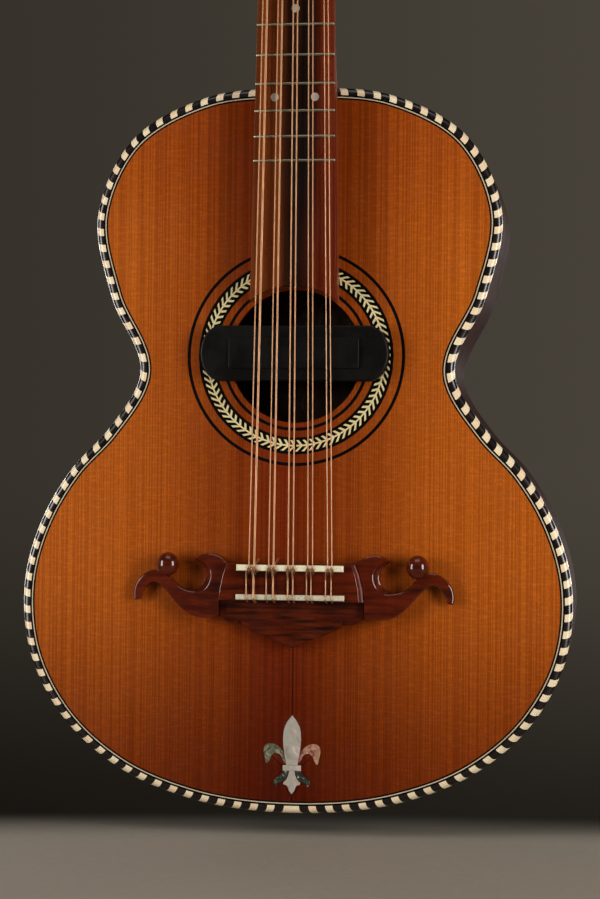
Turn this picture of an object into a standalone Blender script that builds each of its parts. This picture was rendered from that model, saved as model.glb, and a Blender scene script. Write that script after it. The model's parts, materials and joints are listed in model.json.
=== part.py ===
"""A bajo quinto: a small guitar with ten strings in pairs, a raised fingerboard and a carved scroll bridge.

Metres. X runs across the body to the viewer's right and Z up along the neck. The soundboard's face is the
plane Y = 0, looking towards -Y. The origin is where a wall hanger's yoke would hold the neck, under the
shoulders of the head. Places along the instrument are given as a distance from the nut towards the tail,
which along() turns into a height.
"""

import bmesh
import bpy
from math import cos, pi, radians, sin
from mathutils import Matrix, Vector

# The space left between pieces that touch, and how far a cutter reaches past what it cuts.
GAP = 0.0003
PAST = 0.002

# Strings and frets
SCALE_LENGTH = 0.610
NUT_HEIGHT = -0.012
FRET_COUNT = 14
FRET_WIDTH = 0.0020
FRET_RISE = 0.0010
STRING_DIAMETERS = [0.0009, 0.0016, 0.0008, 0.00135, 0.0010, 0.0010, 0.0008, 0.0008, 0.0007, 0.0007]
NUT_COURSE_STEP = 0.0085
NUT_PAIR_STEP = 0.0026
SADDLE_COURSE_STEP = 0.0131
SADDLE_PAIR_STEPS = [0.0036, 0.0033, 0.0034, 0.0032, 0.0029]
# All strings sit this far to the right of the bridge's middle.
SADDLE_SHIFT = 0.00085
# Where a string turns down behind the tie block, and where it ends there, below the block's top.
STRING_TURN_DOWN, STRING_TAIL = 0.0010, 0.0045

# Body
BODY_DEPTH = 0.090
TOP_THICKNESS = 0.003
RIB_THICKNESS = 0.0024
BINDING_WIDTH = 0.0052
BINDING_DEPTH = 0.0050
# The top binding's outer corner is rounded off: how far along each face, and how deep at its middle.
BINDING_ROUNDING, BINDING_ROUND_MIDDLE = 0.0038, 0.0011
BACK_BINDING_WIDTH = 0.0030
# The linings are slanted strips: near and far edge on the plate, and how far down the rib they reach.
LINING_NEAR, LINING_FAR = 0.0074, 0.0100
LINING_STEP, LINING_DEPTH = 0.0052, 0.0120
BRACE_HEIGHT, BRACE_TIP_HEIGHT, BRACE_SCALLOP, BRACE_THICKNESS = 0.014, 0.004, 0.045, 0.008
BRIDGE_PLATE_HALF, BRIDGE_PLATE_THICKNESS = 0.078, 0.0025
BRIDGE_PLATE_ENDS = (0.602, 0.650)
BLOCK_HALF_WIDTH = 0.030
NECK_BLOCK_LENGTH, TAIL_BLOCK_LENGTH = 0.048, 0.030
# How far the body's edge falls away from the centre line's end across a block's half width.
BLOCK_EDGE_FALL = 0.0016
# The edge's points: how many, and how much closer they come where it bends, in metres a radian.
EDGE_SAMPLES = 80
BEND_WEIGHT = 0.1
# Half of the body's outer edge, from the neck to the tail: half width, distance from the nut.
BODY_EDGE = [
    (0.0, 0.2870), (0.0640, 0.2925), (0.1145, 0.3210), (0.1377, 0.3725), (0.1277, 0.4275),
    (0.1071, 0.4805), (0.1287, 0.5175), (0.1533, 0.5440), (0.1719, 0.5740), (0.1860, 0.6220),
    (0.1809, 0.6730), (0.1573, 0.7155), (0.1186, 0.7480), (0.0708, 0.7670), (0.0, 0.7751),
]

# Soundhole, rosette and pickup
HOLE_DISTANCE = 0.4681
HOLE_RADIUS = 0.0448
ROSETTE_RADII = (0.0549, 0.0659)
ROSETTE_DEPTH = 0.0012
ROUND_STEPS = 48
PICKUP_DISTANCE = 0.4665
PICKUP_LENGTH = 0.1272
PICKUP_WIDTH = 0.0372
PICKUP_THICKNESS = 0.0095
# Each end of the pickup is half an ellipse that reaches this far past its straight sides.
PICKUP_END, PICKUP_END_STEPS, PICKUP_ROUNDING = 0.0136, 10, 0.0010
COVER_LENGTH = 0.0880
COVER_WIDTH = 0.0206
COVER_RISE = 0.0014
COVER_CORNER = 0.0012

# Neck and fingerboard
BOARD_FACE = -0.0160
BOARD_THICKNESS = 0.0065
BOARD_HALF_WIDTH_AT_NUT = 0.02175
BOARD_HALF_TAPER = 0.0172
BOARD_END = 0.4370
BOARD_ARC_RADIUS = 0.0464
BOARD_BACK = BOARD_FACE + BOARD_THICKNESS
NUT_THICKNESS = 0.0047
# The neck's stations from the nut to the heel: distance, how far back its rounded side reaches.
NECK_STATIONS = [(-0.0052, 0.0055), (0.0600, 0.0065), (0.1500, 0.0077), (0.2250, 0.0085)]
HEEL_END = BODY_EDGE[0][1] - GAP
HEEL_BACK = 0.0855
HEEL_STEPS = 7
# Two gives a half ellipse, and more a squarer section.
NECK_FULLNESS, HEEL_FULLNESS = 2.2, 1.65
NECK_ROUND_STEPS = 12
TONGUE_OVERLAP = 0.003
NUT_TOP = -0.0188
STRING_FLOOR_AT_NUT = -0.0172

# Head and its machines. Across, back and up are measured in the head's own tilted frame.
HEAD_TILT = radians(13)
HEAD_THICKNESS = 0.015
HEAD_ROUNDING = 0.0010
HEAD_EDGE = [
    (0.0215, 0.0), (0.0217, 0.0030), (0.0228, 0.0060), (0.0252, 0.0088), (0.0290, 0.0112),
    (0.0330, 0.0138), (0.0355, 0.0172), (0.0364, 0.0215), (0.0360, 0.0600), (0.0370, 0.1100),
    (0.0390, 0.1430), (0.0391, 0.1500), (0.0370, 0.1552), (0.0325, 0.1575), (0.0240, 0.1563),
    (0.0160, 0.1583), (0.0080, 0.1640), (0.0, 0.1680),
]
POST_ACROSS = 0.0245
POST_FIRST_UP = 0.0300
POST_STEP = 0.0245
POSTS_A_SIDE = 5
POST_RADIUS = 0.0030
POST_HOLE_RADIUS = 0.0036
POST_SIDES = 8
POST_TAIL = 0.0012
WINDING_RADIUS = 0.0040
WINDING_LOW, WINDING_HIGH = -0.0095, -0.0045
PLATE_THICKNESS = 0.0012
PLATE_INNER, PLATE_OUTER = 0.0130, 0.0340
PLATE_BELOW_POST, PLATE_ABOVE_WORM = 0.0120, 0.0065
# A worm's ears: where each one's near side is across from its post, and its sizes.
EAR_PLACES = (-0.0086, 0.0066)
EAR_HALF_HEIGHT, EAR_THICKNESS, EAR_PAST_SHAFT, EAR_HOLE_RADIUS = 0.0032, 0.0018, 0.0034, 0.0020
EAR_ROOT = 0.0004
GEAR_TEETH = 14
GEAR_MODULE = 0.0010
GEAR_PITCH_RADIUS = GEAR_TEETH * GEAR_MODULE / 2
GEAR_FACE = 0.0030
WORM_TIP_RADIUS = 0.0039
WORM_PITCH_RADIUS = 0.0030
WORM_TURNS = 2
WORM_STEPS_A_TURN = 8
# From a gear's axis to its worm's, and from the head's face back to the plane that both lie in.
WORM_UP = GEAR_PITCH_RADIUS + WORM_PITCH_RADIUS
GEAR_PLANE = HEAD_THICKNESS + GAP + PLATE_THICKNESS + GAP + WORM_TIP_RADIUS + GAP
# How much of the pitch a thread or a tooth fills, and how much wider and narrower it is at root and tip.
THREAD_SHARE = 0.34
THREAD_ROOT, THREAD_TIP = 1.6, 0.5
TOOTH_ROOT, TOOTH_TIP = 1.5, 0.55
TOOTH_ROOT_DEPTH, TOOTH_TIP_HEIGHT = -1.2 * GEAR_MODULE, 0.9 * GEAR_MODULE
SHAFT_RADIUS = 0.0015
SHAFT_TAIL = 0.0095
KNOB_NEAR, KNOB_FAR = 0.0430, 0.0610
# A knob's rings: share of its length, half thickness, half height.
KNOB_STATIONS = [
    (0.0, 0.0028, 0.0028), (0.15, 0.0036, 0.0048), (0.45, 0.0045, 0.0088), (0.8, 0.0040, 0.0080),
    (1.0, 0.0022, 0.0044),
]
KNOB_COLLAR = 0.0010

# Bridge
SADDLE_LENGTH = 0.0718
SADDLE_THICKNESS = 0.0042
SADDLE_TOP = -0.0200
TIE_BAR_LENGTH = 0.0731
TIE_BAR_DISTANCE = 0.6296
TIE_BAR_THICKNESS = 0.0037
TIE_BAR_TOP = -0.0186
TIE_BLOCK_FRONT, TIE_BLOCK_REAR = 0.6072, 0.6322
TIE_BLOCK_HALF_FRONT, TIE_BLOCK_HALF_REAR = 0.0432, 0.0478
TIE_BLOCK_TOP = -0.0170
TIE_BLOCK_ROOT = -0.0060
BRIDGE_FOOT_TOP = -0.0080
BRIDGE_ROUNDING, BONE_ROUNDING = 0.0008, 0.0005
BAR_SEAT_DEPTH = 0.0040
# Half of the bridge's middle piece, from its front edge to the tip at its tail.
BRIDGE_EDGE = [
    (0.0432, 0.6072), (0.0462, 0.6150), (0.0481, 0.6240), (0.0490, 0.6340), (0.0490, 0.6425),
    (0.0465, 0.6445), (0.0422, 0.6473), (0.0379, 0.6479), (0.0350, 0.6464), (0.0311, 0.6505),
    (0.0243, 0.6540), (0.0141, 0.6577), (0.0056, 0.6613), (0.0, 0.6638),
]
# The scroll beside it, clockwise from the top of the joint: half width, distance from the nut.
SCROLL_EDGE = [
    (0.0438, 0.6071), (0.0484, 0.6032), (0.0553, 0.6012), (0.0614, 0.6020), (0.0667, 0.6048),
    (0.0616, 0.6062), (0.0569, 0.6100), (0.0552, 0.6156), (0.0568, 0.6216), (0.0612, 0.6262),
    (0.0680, 0.6266), (0.0752, 0.6246), (0.0798, 0.6208), (0.0845, 0.6160), (0.0905, 0.6128),
    (0.0970, 0.6133), (0.1030, 0.6170), (0.1070, 0.6225), (0.1084, 0.6290), (0.1078, 0.6332),
    (0.1040, 0.6326), (0.1025, 0.6280), (0.0995, 0.6237), (0.0954, 0.6209), (0.0909, 0.6217),
    (0.0866, 0.6256), (0.0816, 0.6313), (0.0754, 0.6376), (0.0685, 0.6423), (0.0610, 0.6440),
    (0.0535, 0.6438), (0.0494, 0.6424), (0.0494, 0.6340), (0.0485, 0.6240), (0.0466, 0.6150),
]
SCROLL_RISE_AT_JOINT = 0.0125
SCROLL_FALL = 0.105
SCROLL_ROUNDING = 0.0012
BALL_PLACE = (0.0843, 0.6087)
BALL_HEIGHT = 0.0085
BALL_RADII = (0.0075, 0.0072, 0.0081)

# Half of the fleur-de-lis inlay below the bridge: half width, distance from the nut.
FLEUR_EDGE = [
    (0.0, 0.7092), (0.0046, 0.7165), (0.0062, 0.7237), (0.0050, 0.7313), (0.0036, 0.7385),
    (0.0071, 0.7340), (0.0105, 0.7301), (0.0146, 0.7286), (0.0187, 0.7309), (0.0199, 0.7357),
    (0.0170, 0.7425), (0.0154, 0.7382), (0.0132, 0.7366), (0.0105, 0.7395), (0.0070, 0.7427),
    (0.0066, 0.7467), (0.0090, 0.7495), (0.0119, 0.7516), (0.0117, 0.7573), (0.0072, 0.7539),
    (0.0058, 0.7556), (0.0030, 0.7595), (0.0, 0.7623),
]
INLAY_DEPTH = 0.0012

# Each finish: colour, roughness, metallic.
FINISHES = {
    "top_cedar": ((0.52, 0.21, 0.05), 0.35, 0.0),
    "rosewood": ((0.11, 0.035, 0.018), 0.25, 0.0),
    "carved_rosewood": ((0.13, 0.03, 0.015), 0.15, 0.0),
    "neck_cedar": ((0.20, 0.07, 0.03), 0.35, 0.0),
    "spruce": ((0.75, 0.55, 0.33), 0.7, 0.0),
    "rope_binding": ((0.55, 0.47, 0.32), 0.35, 0.0),
    "back_binding": ((0.10, 0.05, 0.03), 0.35, 0.0),
    "herringbone": ((0.50, 0.43, 0.28), 0.4, 0.0),
    "bone": ((0.80, 0.76, 0.62), 0.35, 0.0),
    "pearl": ((0.62, 0.62, 0.55), 0.2, 0.0),
    "pickup_plastic": ((0.018, 0.018, 0.019), 0.5, 0.0),
    "nickel": ((0.62, 0.60, 0.56), 0.25, 1.0),
    "bronze": ((0.62, 0.36, 0.19), 0.3, 1.0),
    "ivoroid": ((0.72, 0.66, 0.50), 0.25, 0.0),
}


def along(distance):
    """Height of a place that is this far from the nut towards the tail."""
    return NUT_HEIGHT - distance


def board_half_width(distance):
    return BOARD_HALF_WIDTH_AT_NUT + BOARD_HALF_TAPER * distance


def fret_distance(number):
    return SCALE_LENGTH * (1 - 2 ** (-number / 12))


def clear_scene():
    for old in list(bpy.data.objects):
        bpy.data.objects.remove(old)


def finish_of(name):
    """The named finish as a material, made once."""
    found = bpy.data.materials.get(name)
    if found:
        return found
    colour, roughness, metallic = FINISHES[name]
    made = bpy.data.materials.new(name)
    made.use_nodes = True
    shader = made.node_tree.nodes["Principled BSDF"]
    shader.inputs["Base Color"].default_value = (*colour, 1)
    shader.inputs["Roughness"].default_value = roughness
    shader.inputs["Metallic"].default_value = metallic
    return made


def add_object(name, shape, finish, smooth_below=None):
    """An object from a bmesh. Faces that meet at less than smooth_below are shaded as one surface."""
    bmesh.ops.recalc_face_normals(shape, faces=shape.faces[:])
    mesh = bpy.data.meshes.new(name)
    shape.to_mesh(mesh)
    shape.free()
    mesh.materials.append(finish_of(finish))
    if smooth_below:
        mesh.shade_smooth()
        mesh.set_sharp_from_angle(angle=smooth_below)
    made = bpy.data.objects.new(name, mesh)
    bpy.context.scene.collection.objects.link(made)
    return made


def bake_modifiers(target):
    """Replaces the object's mesh with what its modifiers make of it."""
    bpy.context.view_layer.update()
    graph = bpy.context.evaluated_depsgraph_get()
    baked = bpy.data.meshes.new_from_object(target.evaluated_get(graph))
    baked.name = target.name
    target.modifiers.clear()
    target.data = baked


def combine(target, other, operation):
    """Cuts another object from the target, or joins it on, and removes the other."""
    boolean = target.modifiers.new(operation.title(), "BOOLEAN")
    boolean.operation = operation
    boolean.solver = "EXACT"
    boolean.object = other
    bake_modifiers(target)
    bpy.data.objects.remove(other)


def bevel(target, width, angle=radians(60)):
    """Takes off the edges that are sharper than this angle."""
    chamfer = target.modifiers.new("Bevel", "BEVEL")
    chamfer.width = width
    chamfer.segments = 1
    chamfer.limit_method = "ANGLE"
    chamfer.angle_limit = angle
    bake_modifiers(target)


def in_front(x, z, y):
    """Places an outline drawn on the soundboard."""
    return (x, y, z)


def across(y, z, x):
    """Places an outline drawn on the plane that splits the instrument into left and right."""
    return (x, y, z)


def level(x, y, z):
    """Places an outline drawn on a plane square to the neck."""
    return (x, y, z)


def prism(name, outline, near, far, place, finish, smooth_below=None):
    """A solid with this outline, from one depth to another."""
    shape = bmesh.new()
    rings = [[shape.verts.new(place(u, v, depth)) for u, v in outline] for depth in (near, far)]
    shape.faces.new(rings[0])
    shape.faces.new(reversed(rings[1]))
    bridge_rings(shape, rings, closed=False)
    return add_object(name, shape, finish, smooth_below)


def bridge_rings(shape, rings, closed):
    """Joins each ring of points to the next. A closed chain's last ring meets its first."""
    pairs = list(zip(rings, rings[1:] + rings[:1]))
    for ring, following in pairs if closed else pairs[:-1]:
        for i in range(len(ring)):
            j = (i + 1) % len(ring)
            shape.faces.new((ring[i], ring[j], following[j], following[i]))


def loft(name, rings, finish, smooth_below=None):
    """A solid through closed rings of points, capped at both ends."""
    shape = bmesh.new()
    made = [[shape.verts.new(point) for point in ring] for ring in rings]
    shape.faces.new(made[0])
    shape.faces.new(reversed(made[-1]))
    bridge_rings(shape, made, closed=False)
    return add_object(name, shape, finish, smooth_below)


def turned(name, profile, sides, finish, smooth_below=None):
    """A solid turned about the local Y axis from (radius, place along Y) pairs, with flat ends."""
    rings = []
    for radius, y in profile:
        angles = [2 * pi * i / sides for i in range(sides)]
        rings.append([(radius * cos(a), y, radius * sin(a)) for a in angles])
    return loft(name, rings, finish, smooth_below)


def cylinder_cutter(radius, start, end):
    """A helper cylinder between two points."""
    shape = bmesh.new()
    direction = Vector(end) - Vector(start)
    turn = direction.to_track_quat("Z", "Y").to_matrix().to_4x4()
    bmesh.ops.create_cone(
        shape, cap_ends=True, segments=POST_SIDES, radius1=radius, radius2=radius, depth=direction.length,
        matrix=Matrix.Translation((Vector(start) + Vector(end)) / 2) @ turn,
    )
    return add_object("cutter", shape, "nickel")


def mirrored(half):
    """A closed outline from its right half."""
    return half + [(-u, v) for u, v in reversed(half) if u > 0]


def drawn(edge):
    """An outline of (half width, distance from the nut) as (x, z) points."""
    return [(x, along(distance)) for x, distance in edge]


def tapered(near_half, near, far_half, far):
    """A four-sided outline across the centre line, between two distances from the nut."""
    return drawn(mirrored([(near_half, near), (far_half, far)]))


def bar_outline(length, thickness, distance):
    """The outline of a straight bar across the centre line."""
    return tapered(length / 2, distance - thickness / 2, length / 2, distance + thickness / 2)


def smooth_loop(points, steps):
    """A smooth closed curve through the points, with this many steps between each two."""
    count = len(points)
    corners = [Vector(point) for point in points]
    reach = [(corners[(i + 1) % count] - corners[i]).length for i in range(count)]
    slopes = []
    for i in range(count):
        before, after = reach[i - 1], reach[i]
        arriving = (corners[i] - corners[i - 1]) / before
        leaving = (corners[(i + 1) % count] - corners[i]) / after
        slopes.append((arriving * after + leaving * before) / (before + after))
    made = []
    for i in range(count):
        j, span = (i + 1) % count, reach[i]
        for step in range(steps):
            t = step / steps
            made.append(
                corners[i] * (2 * t**3 - 3 * t**2 + 1) + slopes[i] * span * (t**3 - 2 * t**2 + t)
                + corners[j] * (3 * t**2 - 2 * t**3) + slopes[j] * span * (t**3 - t**2)
            )
    return made


def resampled(loop, count):
    """The closed loop again, with this many points from its first one on, closer together where it bends."""
    corners = len(loop)
    bends = []
    for i, here in enumerate(loop):
        bends.append((here - loop[i - 1]).angle(loop[(i + 1) % corners] - here))
    reach = [0.0]
    for i, here in enumerate(loop):
        j = (i + 1) % corners
        reach.append(reach[-1] + (loop[j] - here).length + BEND_WEIGHT * (bends[i] + bends[j]) / 2)
    made, k = [], 0
    for i in range(count):
        target = reach[-1] * i / count
        while reach[k + 1] < target:
            k += 1
        share = (target - reach[k]) / (reach[k + 1] - reach[k])
        made.append(loop[k].lerp(loop[(k + 1) % corners], share))
    return made


def inset_loop(loop, distance):
    """The closed loop moved inwards by this distance, or outwards by a negative one."""
    area = sum(a.x * b.y - b.x * a.y for a, b in zip(loop, loop[1:] + loop[:1]))
    side = 1 if area > 0 else -1
    made = []
    for i, here in enumerate(loop):
        before, after = loop[i - 1], loop[(i + 1) % len(loop)]
        tangent = ((here - before).normalized() + (after - here).normalized()).normalized()
        made.append(here + Vector((-tangent.y, tangent.x)) * side * distance)
    return made


def rounded_corners(points, radius, steps):
    """A closed outline with each corner replaced by a short curve that starts this far from it."""
    made = []
    for i, corner in enumerate(points):
        here = Vector(corner)
        start = here + (Vector(points[i - 1]) - here).normalized() * radius
        end = here + (Vector(points[(i + 1) % len(points)]) - here).normalized() * radius
        for step in range(steps + 1):
            t = step / steps
            made.append(start * (1 - t) ** 2 + here * 2 * t * (1 - t) + end * t**2)
    return made


def body_loop():
    """The body's outer edge as (x, z) points, from the centre line at the neck round past the tail."""
    return resampled(smooth_loop(drawn(mirrored(BODY_EDGE)), 12), EDGE_SAMPLES)


def band(name, loop, section, finish, closed=True, smooth_below=radians(40)):
    """A strip that follows the body's edge. Its section is a list of (inset, y) corners."""
    rails = [inset_loop(loop, inset) for inset, _ in section]
    depths = [y for _, y in section]
    rings = [[(rail[i].x, y, rail[i].y) for rail, y in zip(rails, depths)] for i in range(len(loop))]
    if not closed:
        rings = rings[: len(loop) // 2 + 1]
        rings[0] = [(GAP / 2, y, z) for _, y, z in rings[0]]
        rings[-1] = [(GAP / 2, y, z) for _, y, z in rings[-1]]
        return loft(name, rings, finish, smooth_below)
    shape = bmesh.new()
    made = [[shape.verts.new(point) for point in ring] for ring in rings]
    bridge_rings(shape, made, closed=True)
    return add_object(name, shape, finish, smooth_below)


def mirror_copy(source, name):
    """A second object that is the first one's mirror image across the centre line."""
    shape = bmesh.new()
    shape.from_mesh(source.data)
    bmesh.ops.transform(shape, matrix=Matrix.Scale(-1, 4, (1, 0, 0)), verts=shape.verts[:])
    return add_object(name, shape, source.data.materials[0].name, radians(40))


def hole_circle(radius):
    """A circle about the soundhole's axis as (x, z) points."""
    angles = [2 * pi * i / ROUND_STEPS for i in range(ROUND_STEPS)]
    return [Vector((radius * sin(a), along(HOLE_DISTANCE) + radius * cos(a))) for a in angles]


def make_soundboard(loop):
    """The top plate, with its soundhole, and the rosette and the fleur-de-lis let into it."""
    edge = inset_loop(loop, BINDING_WIDTH + GAP)
    top = prism("soundboard", edge, 0, TOP_THICKNESS, in_front, "top_cedar")
    hole = prism("cutter", hole_circle(HOLE_RADIUS), -PAST, TOP_THICKNESS + PAST, in_front, "nickel")
    combine(top, hole, "DIFFERENCE")

    inner, outer = ROSETTE_RADII
    groove_section = [(-GAP, -PAST), (outer - inner + GAP, -PAST),
                      (outer - inner + GAP, ROSETTE_DEPTH + GAP), (-GAP, ROSETTE_DEPTH + GAP)]
    combine(top, band("cutter", hole_circle(outer), groove_section, "nickel"), "DIFFERENCE")
    section = [(0, 0), (outer - inner, 0), (outer - inner, ROSETTE_DEPTH), (0, ROSETTE_DEPTH)]
    band("rosette", hole_circle(outer), section, "herringbone")

    outline = [Vector(point) for point in drawn(mirrored(FLEUR_EDGE))]
    pocket = prism("cutter", inset_loop(outline, -GAP), -PAST, INLAY_DEPTH + GAP, in_front, "nickel")
    combine(top, pocket, "DIFFERENCE")
    prism("fleur_inlay", outline, 0, INLAY_DEPTH, in_front, "pearl")


def make_body(loop):
    """Plates, ribs, linings, bindings, blocks and braces."""
    make_soundboard(loop)
    under_top = TOP_THICKNESS + GAP
    over_back = BODY_DEPTH - TOP_THICKNESS - GAP
    back_edge = inset_loop(loop, BACK_BINDING_WIDTH + GAP)
    prism("back_plate", back_edge, BODY_DEPTH - TOP_THICKNESS, BODY_DEPTH, in_front, "rosewood")

    rib_front = BINDING_DEPTH + GAP
    rib_back = BODY_DEPTH - BINDING_DEPTH - GAP
    rib_section = [(0, rib_front), (RIB_THICKNESS, rib_front), (RIB_THICKNESS, rib_back), (0, rib_back)]
    right_rib = band("rib_right", loop, rib_section, "rosewood", closed=False)
    mirror_copy(right_rib, "rib_left")

    rounding, middle = BINDING_ROUNDING, BINDING_ROUND_MIDDLE
    binding = [(0, rounding), (middle, middle), (rounding, 0), (BINDING_WIDTH, 0),
               (BINDING_WIDTH, BINDING_DEPTH), (0, BINDING_DEPTH)]
    band("binding_top", loop, binding, "rope_binding")
    width, front = BACK_BINDING_WIDTH, BODY_DEPTH - BINDING_DEPTH
    back_binding = [(0, front), (width, front), (width, BODY_DEPTH), (0, BODY_DEPTH)]
    band("binding_back", loop, back_binding, "back_binding")

    against_rib = RIB_THICKNESS + GAP
    for name, glued, way in (("lining_top", under_top, 1), ("lining_back", over_back, -1)):
        lining = [(LINING_NEAR, glued), (LINING_FAR, glued), (against_rib, glued + way * LINING_DEPTH),
                  (against_rib, glued + way * LINING_STEP)]
        band(name, loop, lining, "spruce")

    make_blocks(LINING_FAR + GAP, under_top, over_back)
    make_braces(inset_loop(loop, LINING_FAR + GAP), under_top, over_back)


def make_blocks(clear_of_linings, under_top, over_back):
    """The neck block and the tail block, stepped round the linings."""
    near_rib = RIB_THICKNESS + GAP + BLOCK_EDGE_FALL
    near_lining = clear_of_linings + BLOCK_EDGE_FALL
    first, last = under_top + LINING_DEPTH + GAP, over_back - LINING_DEPTH - GAP
    for name, edge, length, way in (
        ("neck_block", BODY_EDGE[0][1], NECK_BLOCK_LENGTH, 1),
        ("tail_block", BODY_EDGE[-1][1], TAIL_BLOCK_LENGTH, -1),
    ):
        corners = [
            (near_lining, under_top), (length, under_top), (length, over_back), (near_lining, over_back),
            (near_lining, last), (near_rib, last), (near_rib, first), (near_lining, first),
        ]
        outline = [(y, along(edge + way * inset)) for inset, y in corners]
        prism(name, outline, -BLOCK_HALF_WIDTH, BLOCK_HALF_WIDTH, across, "spruce")


def half_width_at(loop, z):
    """How far the closed loop reaches to the right at this height."""
    for here, there in zip(loop, loop[1:] + loop[:1]):
        if here.x + there.x > 0 and (here.y - z) * (there.y - z) <= 0:
            return here.lerp(there, (z - here.y) / (there.y - here.y)).x
    return 0


def make_braces(room, under_top, over_back):
    """Cross bars under the top and on the back, thinned to their ends, and the plate under the bridge."""
    half_thickness = BRACE_THICKNESS / 2
    for name, distance, glued, way in (
        ("top_brace_upper", 0.4040, under_top, 1),
        ("top_brace_middle", 0.5360, under_top, 1),
        ("top_brace_lower", 0.6900, under_top, 1),
        ("back_brace_upper", 0.3900, over_back, -1),
        ("back_brace_lower", 0.6200, over_back, -1),
    ):
        high, low = along(distance) + half_thickness, along(distance) - half_thickness
        half = min(half_width_at(room, high), half_width_at(room, low)) - GAP
        tip, crown = glued + way * BRACE_TIP_HEIGHT, glued + way * BRACE_HEIGHT
        outline = [(-half, glued), (half, glued), (half, tip), (half - BRACE_SCALLOP, crown),
                   (BRACE_SCALLOP - half, crown), (-half, tip)]
        prism(name, outline, low, high, level, "spruce")
    near, far = BRIDGE_PLATE_ENDS
    prism("bridge_plate", tapered(BRIDGE_PLATE_HALF, near, BRIDGE_PLATE_HALF, far),
          under_top, under_top + BRIDGE_PLATE_THICKNESS, in_front, "spruce")


def make_pickup():
    """The black pickup bar that lies across the soundhole, and its raised cover."""
    front = -GAP - PICKUP_THICKNESS
    shoulder = PICKUP_LENGTH / 2 - PICKUP_END
    angles = [pi * (i / PICKUP_END_STEPS - 0.5) for i in range(PICKUP_END_STEPS + 1)]
    end = [(shoulder + PICKUP_END * cos(a), PICKUP_DISTANCE + PICKUP_WIDTH / 2 * sin(a)) for a in angles]
    outline = drawn(mirrored(end))
    housing = prism("pickup_housing", outline, front, -GAP, in_front, "pickup_plastic")
    bevel(housing, PICKUP_ROUNDING, radians(50))
    outline = rounded_corners(bar_outline(COVER_LENGTH, COVER_WIDTH, PICKUP_DISTANCE), COVER_CORNER, 1)
    prism("pickup_cover", outline, front - GAP - COVER_RISE, front - GAP, in_front, "pickup_plastic")


def make_fingerboard():
    """The board and its frets: one long profile across the neck, tapered, with an arc round the soundhole."""
    crown = 0.4
    profile = [(GAP, BOARD_BACK), (GAP, BOARD_FACE)]
    for number in range(1, FRET_COUNT + 1):
        place, half = fret_distance(number), FRET_WIDTH / 2
        profile += [(place - half, BOARD_FACE), (place - half * crown, BOARD_FACE - FRET_RISE),
                    (place + half * crown, BOARD_FACE - FRET_RISE), (place + half, BOARD_FACE)]
    profile += [(BOARD_END, BOARD_FACE), (BOARD_END, BOARD_BACK)]
    rings = [[(side * board_half_width(d), y, along(d)) for d, y in profile] for side in (-1, 1)]
    board = loft("fingerboard", rings, "rosewood")
    combine(board, arc_cutter(), "DIFFERENCE")


def arc_cutter():
    """Cuts the board and the neck's tongue to an arc round the soundhole."""
    return prism("cutter", hole_circle(BOARD_ARC_RADIUS), BOARD_FACE - PAST, -GAP / 2, in_front, "nickel")


def neck_ring(distance, back, fullness):
    """The neck's section: a flat under the board, and a rounded back."""
    front = BOARD_BACK + GAP
    ring = []
    for i in range(NECK_ROUND_STEPS + 1):
        a = pi * i / NECK_ROUND_STEPS
        x = board_half_width(max(distance, 0)) * (1 if cos(a) > 0 else -1) * abs(cos(a)) ** (2 / fullness)
        ring.append((x, front + (back - front) * sin(a) ** (2 / fullness), along(distance)))
    return ring


def make_neck(head_frame):
    """The neck in one piece with its head, heel and the tongue that carries the board over the top."""
    rings = [neck_ring(distance, back, NECK_FULLNESS) for distance, back in NECK_STATIONS]
    heel_start, thin_back = NECK_STATIONS[-1]
    for i in range(1, HEEL_STEPS + 1):
        turn = i / HEEL_STEPS * pi / 2
        distance = heel_start + (HEEL_END - heel_start) * sin(turn)
        back = thin_back + (HEEL_BACK - thin_back) * (1 - cos(turn))
        fullness = NECK_FULLNESS + (HEEL_FULLNESS - NECK_FULLNESS) * i / HEEL_STEPS
        rings.append(neck_ring(distance, back, fullness))
    neck = loft("neck", rings, "neck_cedar", radians(35))

    start = HEEL_END - TONGUE_OVERLAP
    outline = tapered(board_half_width(start), start, board_half_width(BOARD_END), BOARD_END)
    combine(neck, prism("tongue", outline, BOARD_BACK + GAP, -GAP, in_front, "neck_cedar"), "UNION")
    combine(neck, arc_cutter(), "DIFFERENCE")

    head = prism("head", mirrored(HEAD_EDGE), 0, HEAD_THICKNESS, in_front, "neck_cedar")
    bevel(head, HEAD_ROUNDING)
    head.data.transform(head_frame)
    combine(neck, head, "UNION")
    for side, up in post_places():
        start = head_frame @ Vector((side * POST_ACROSS, -PAST, up))
        end = head_frame @ Vector((side * POST_ACROSS, HEAD_THICKNESS + PAST, up))
        combine(neck, cylinder_cutter(POST_HOLE_RADIUS, start, end), "DIFFERENCE")


def nut_place(number):
    """How far a string, counted from 0 at the left, lies to the right of the centre line at the nut."""
    course, member = divmod(number, 2)
    return (course - 2) * NUT_COURSE_STEP + (member - 0.5) * NUT_PAIR_STEP


def saddle_place(number):
    course, member = divmod(number, 2)
    middle = (course - 2) * SADDLE_COURSE_STEP + SADDLE_SHIFT
    return middle + (member - 0.5) * SADDLE_PAIR_STEPS[course]


def make_nut():
    """The bone nut, with a slot for each string."""
    half = board_half_width(0) - GAP
    outline = [(-half, BOARD_BACK), (-half, NUT_TOP)]
    for number, diameter in enumerate(STRING_DIAMETERS):
        slot = diameter / 2 + GAP
        x = nut_place(number)
        outline += [(x - slot, NUT_TOP), (x - slot, STRING_FLOOR_AT_NUT),
                    (x + slot, STRING_FLOOR_AT_NUT), (x + slot, NUT_TOP)]
    outline += [(half, NUT_TOP), (half, BOARD_BACK)]
    prism("nut", outline, along(-NUT_THICKNESS), along(0), level, "bone")


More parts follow.
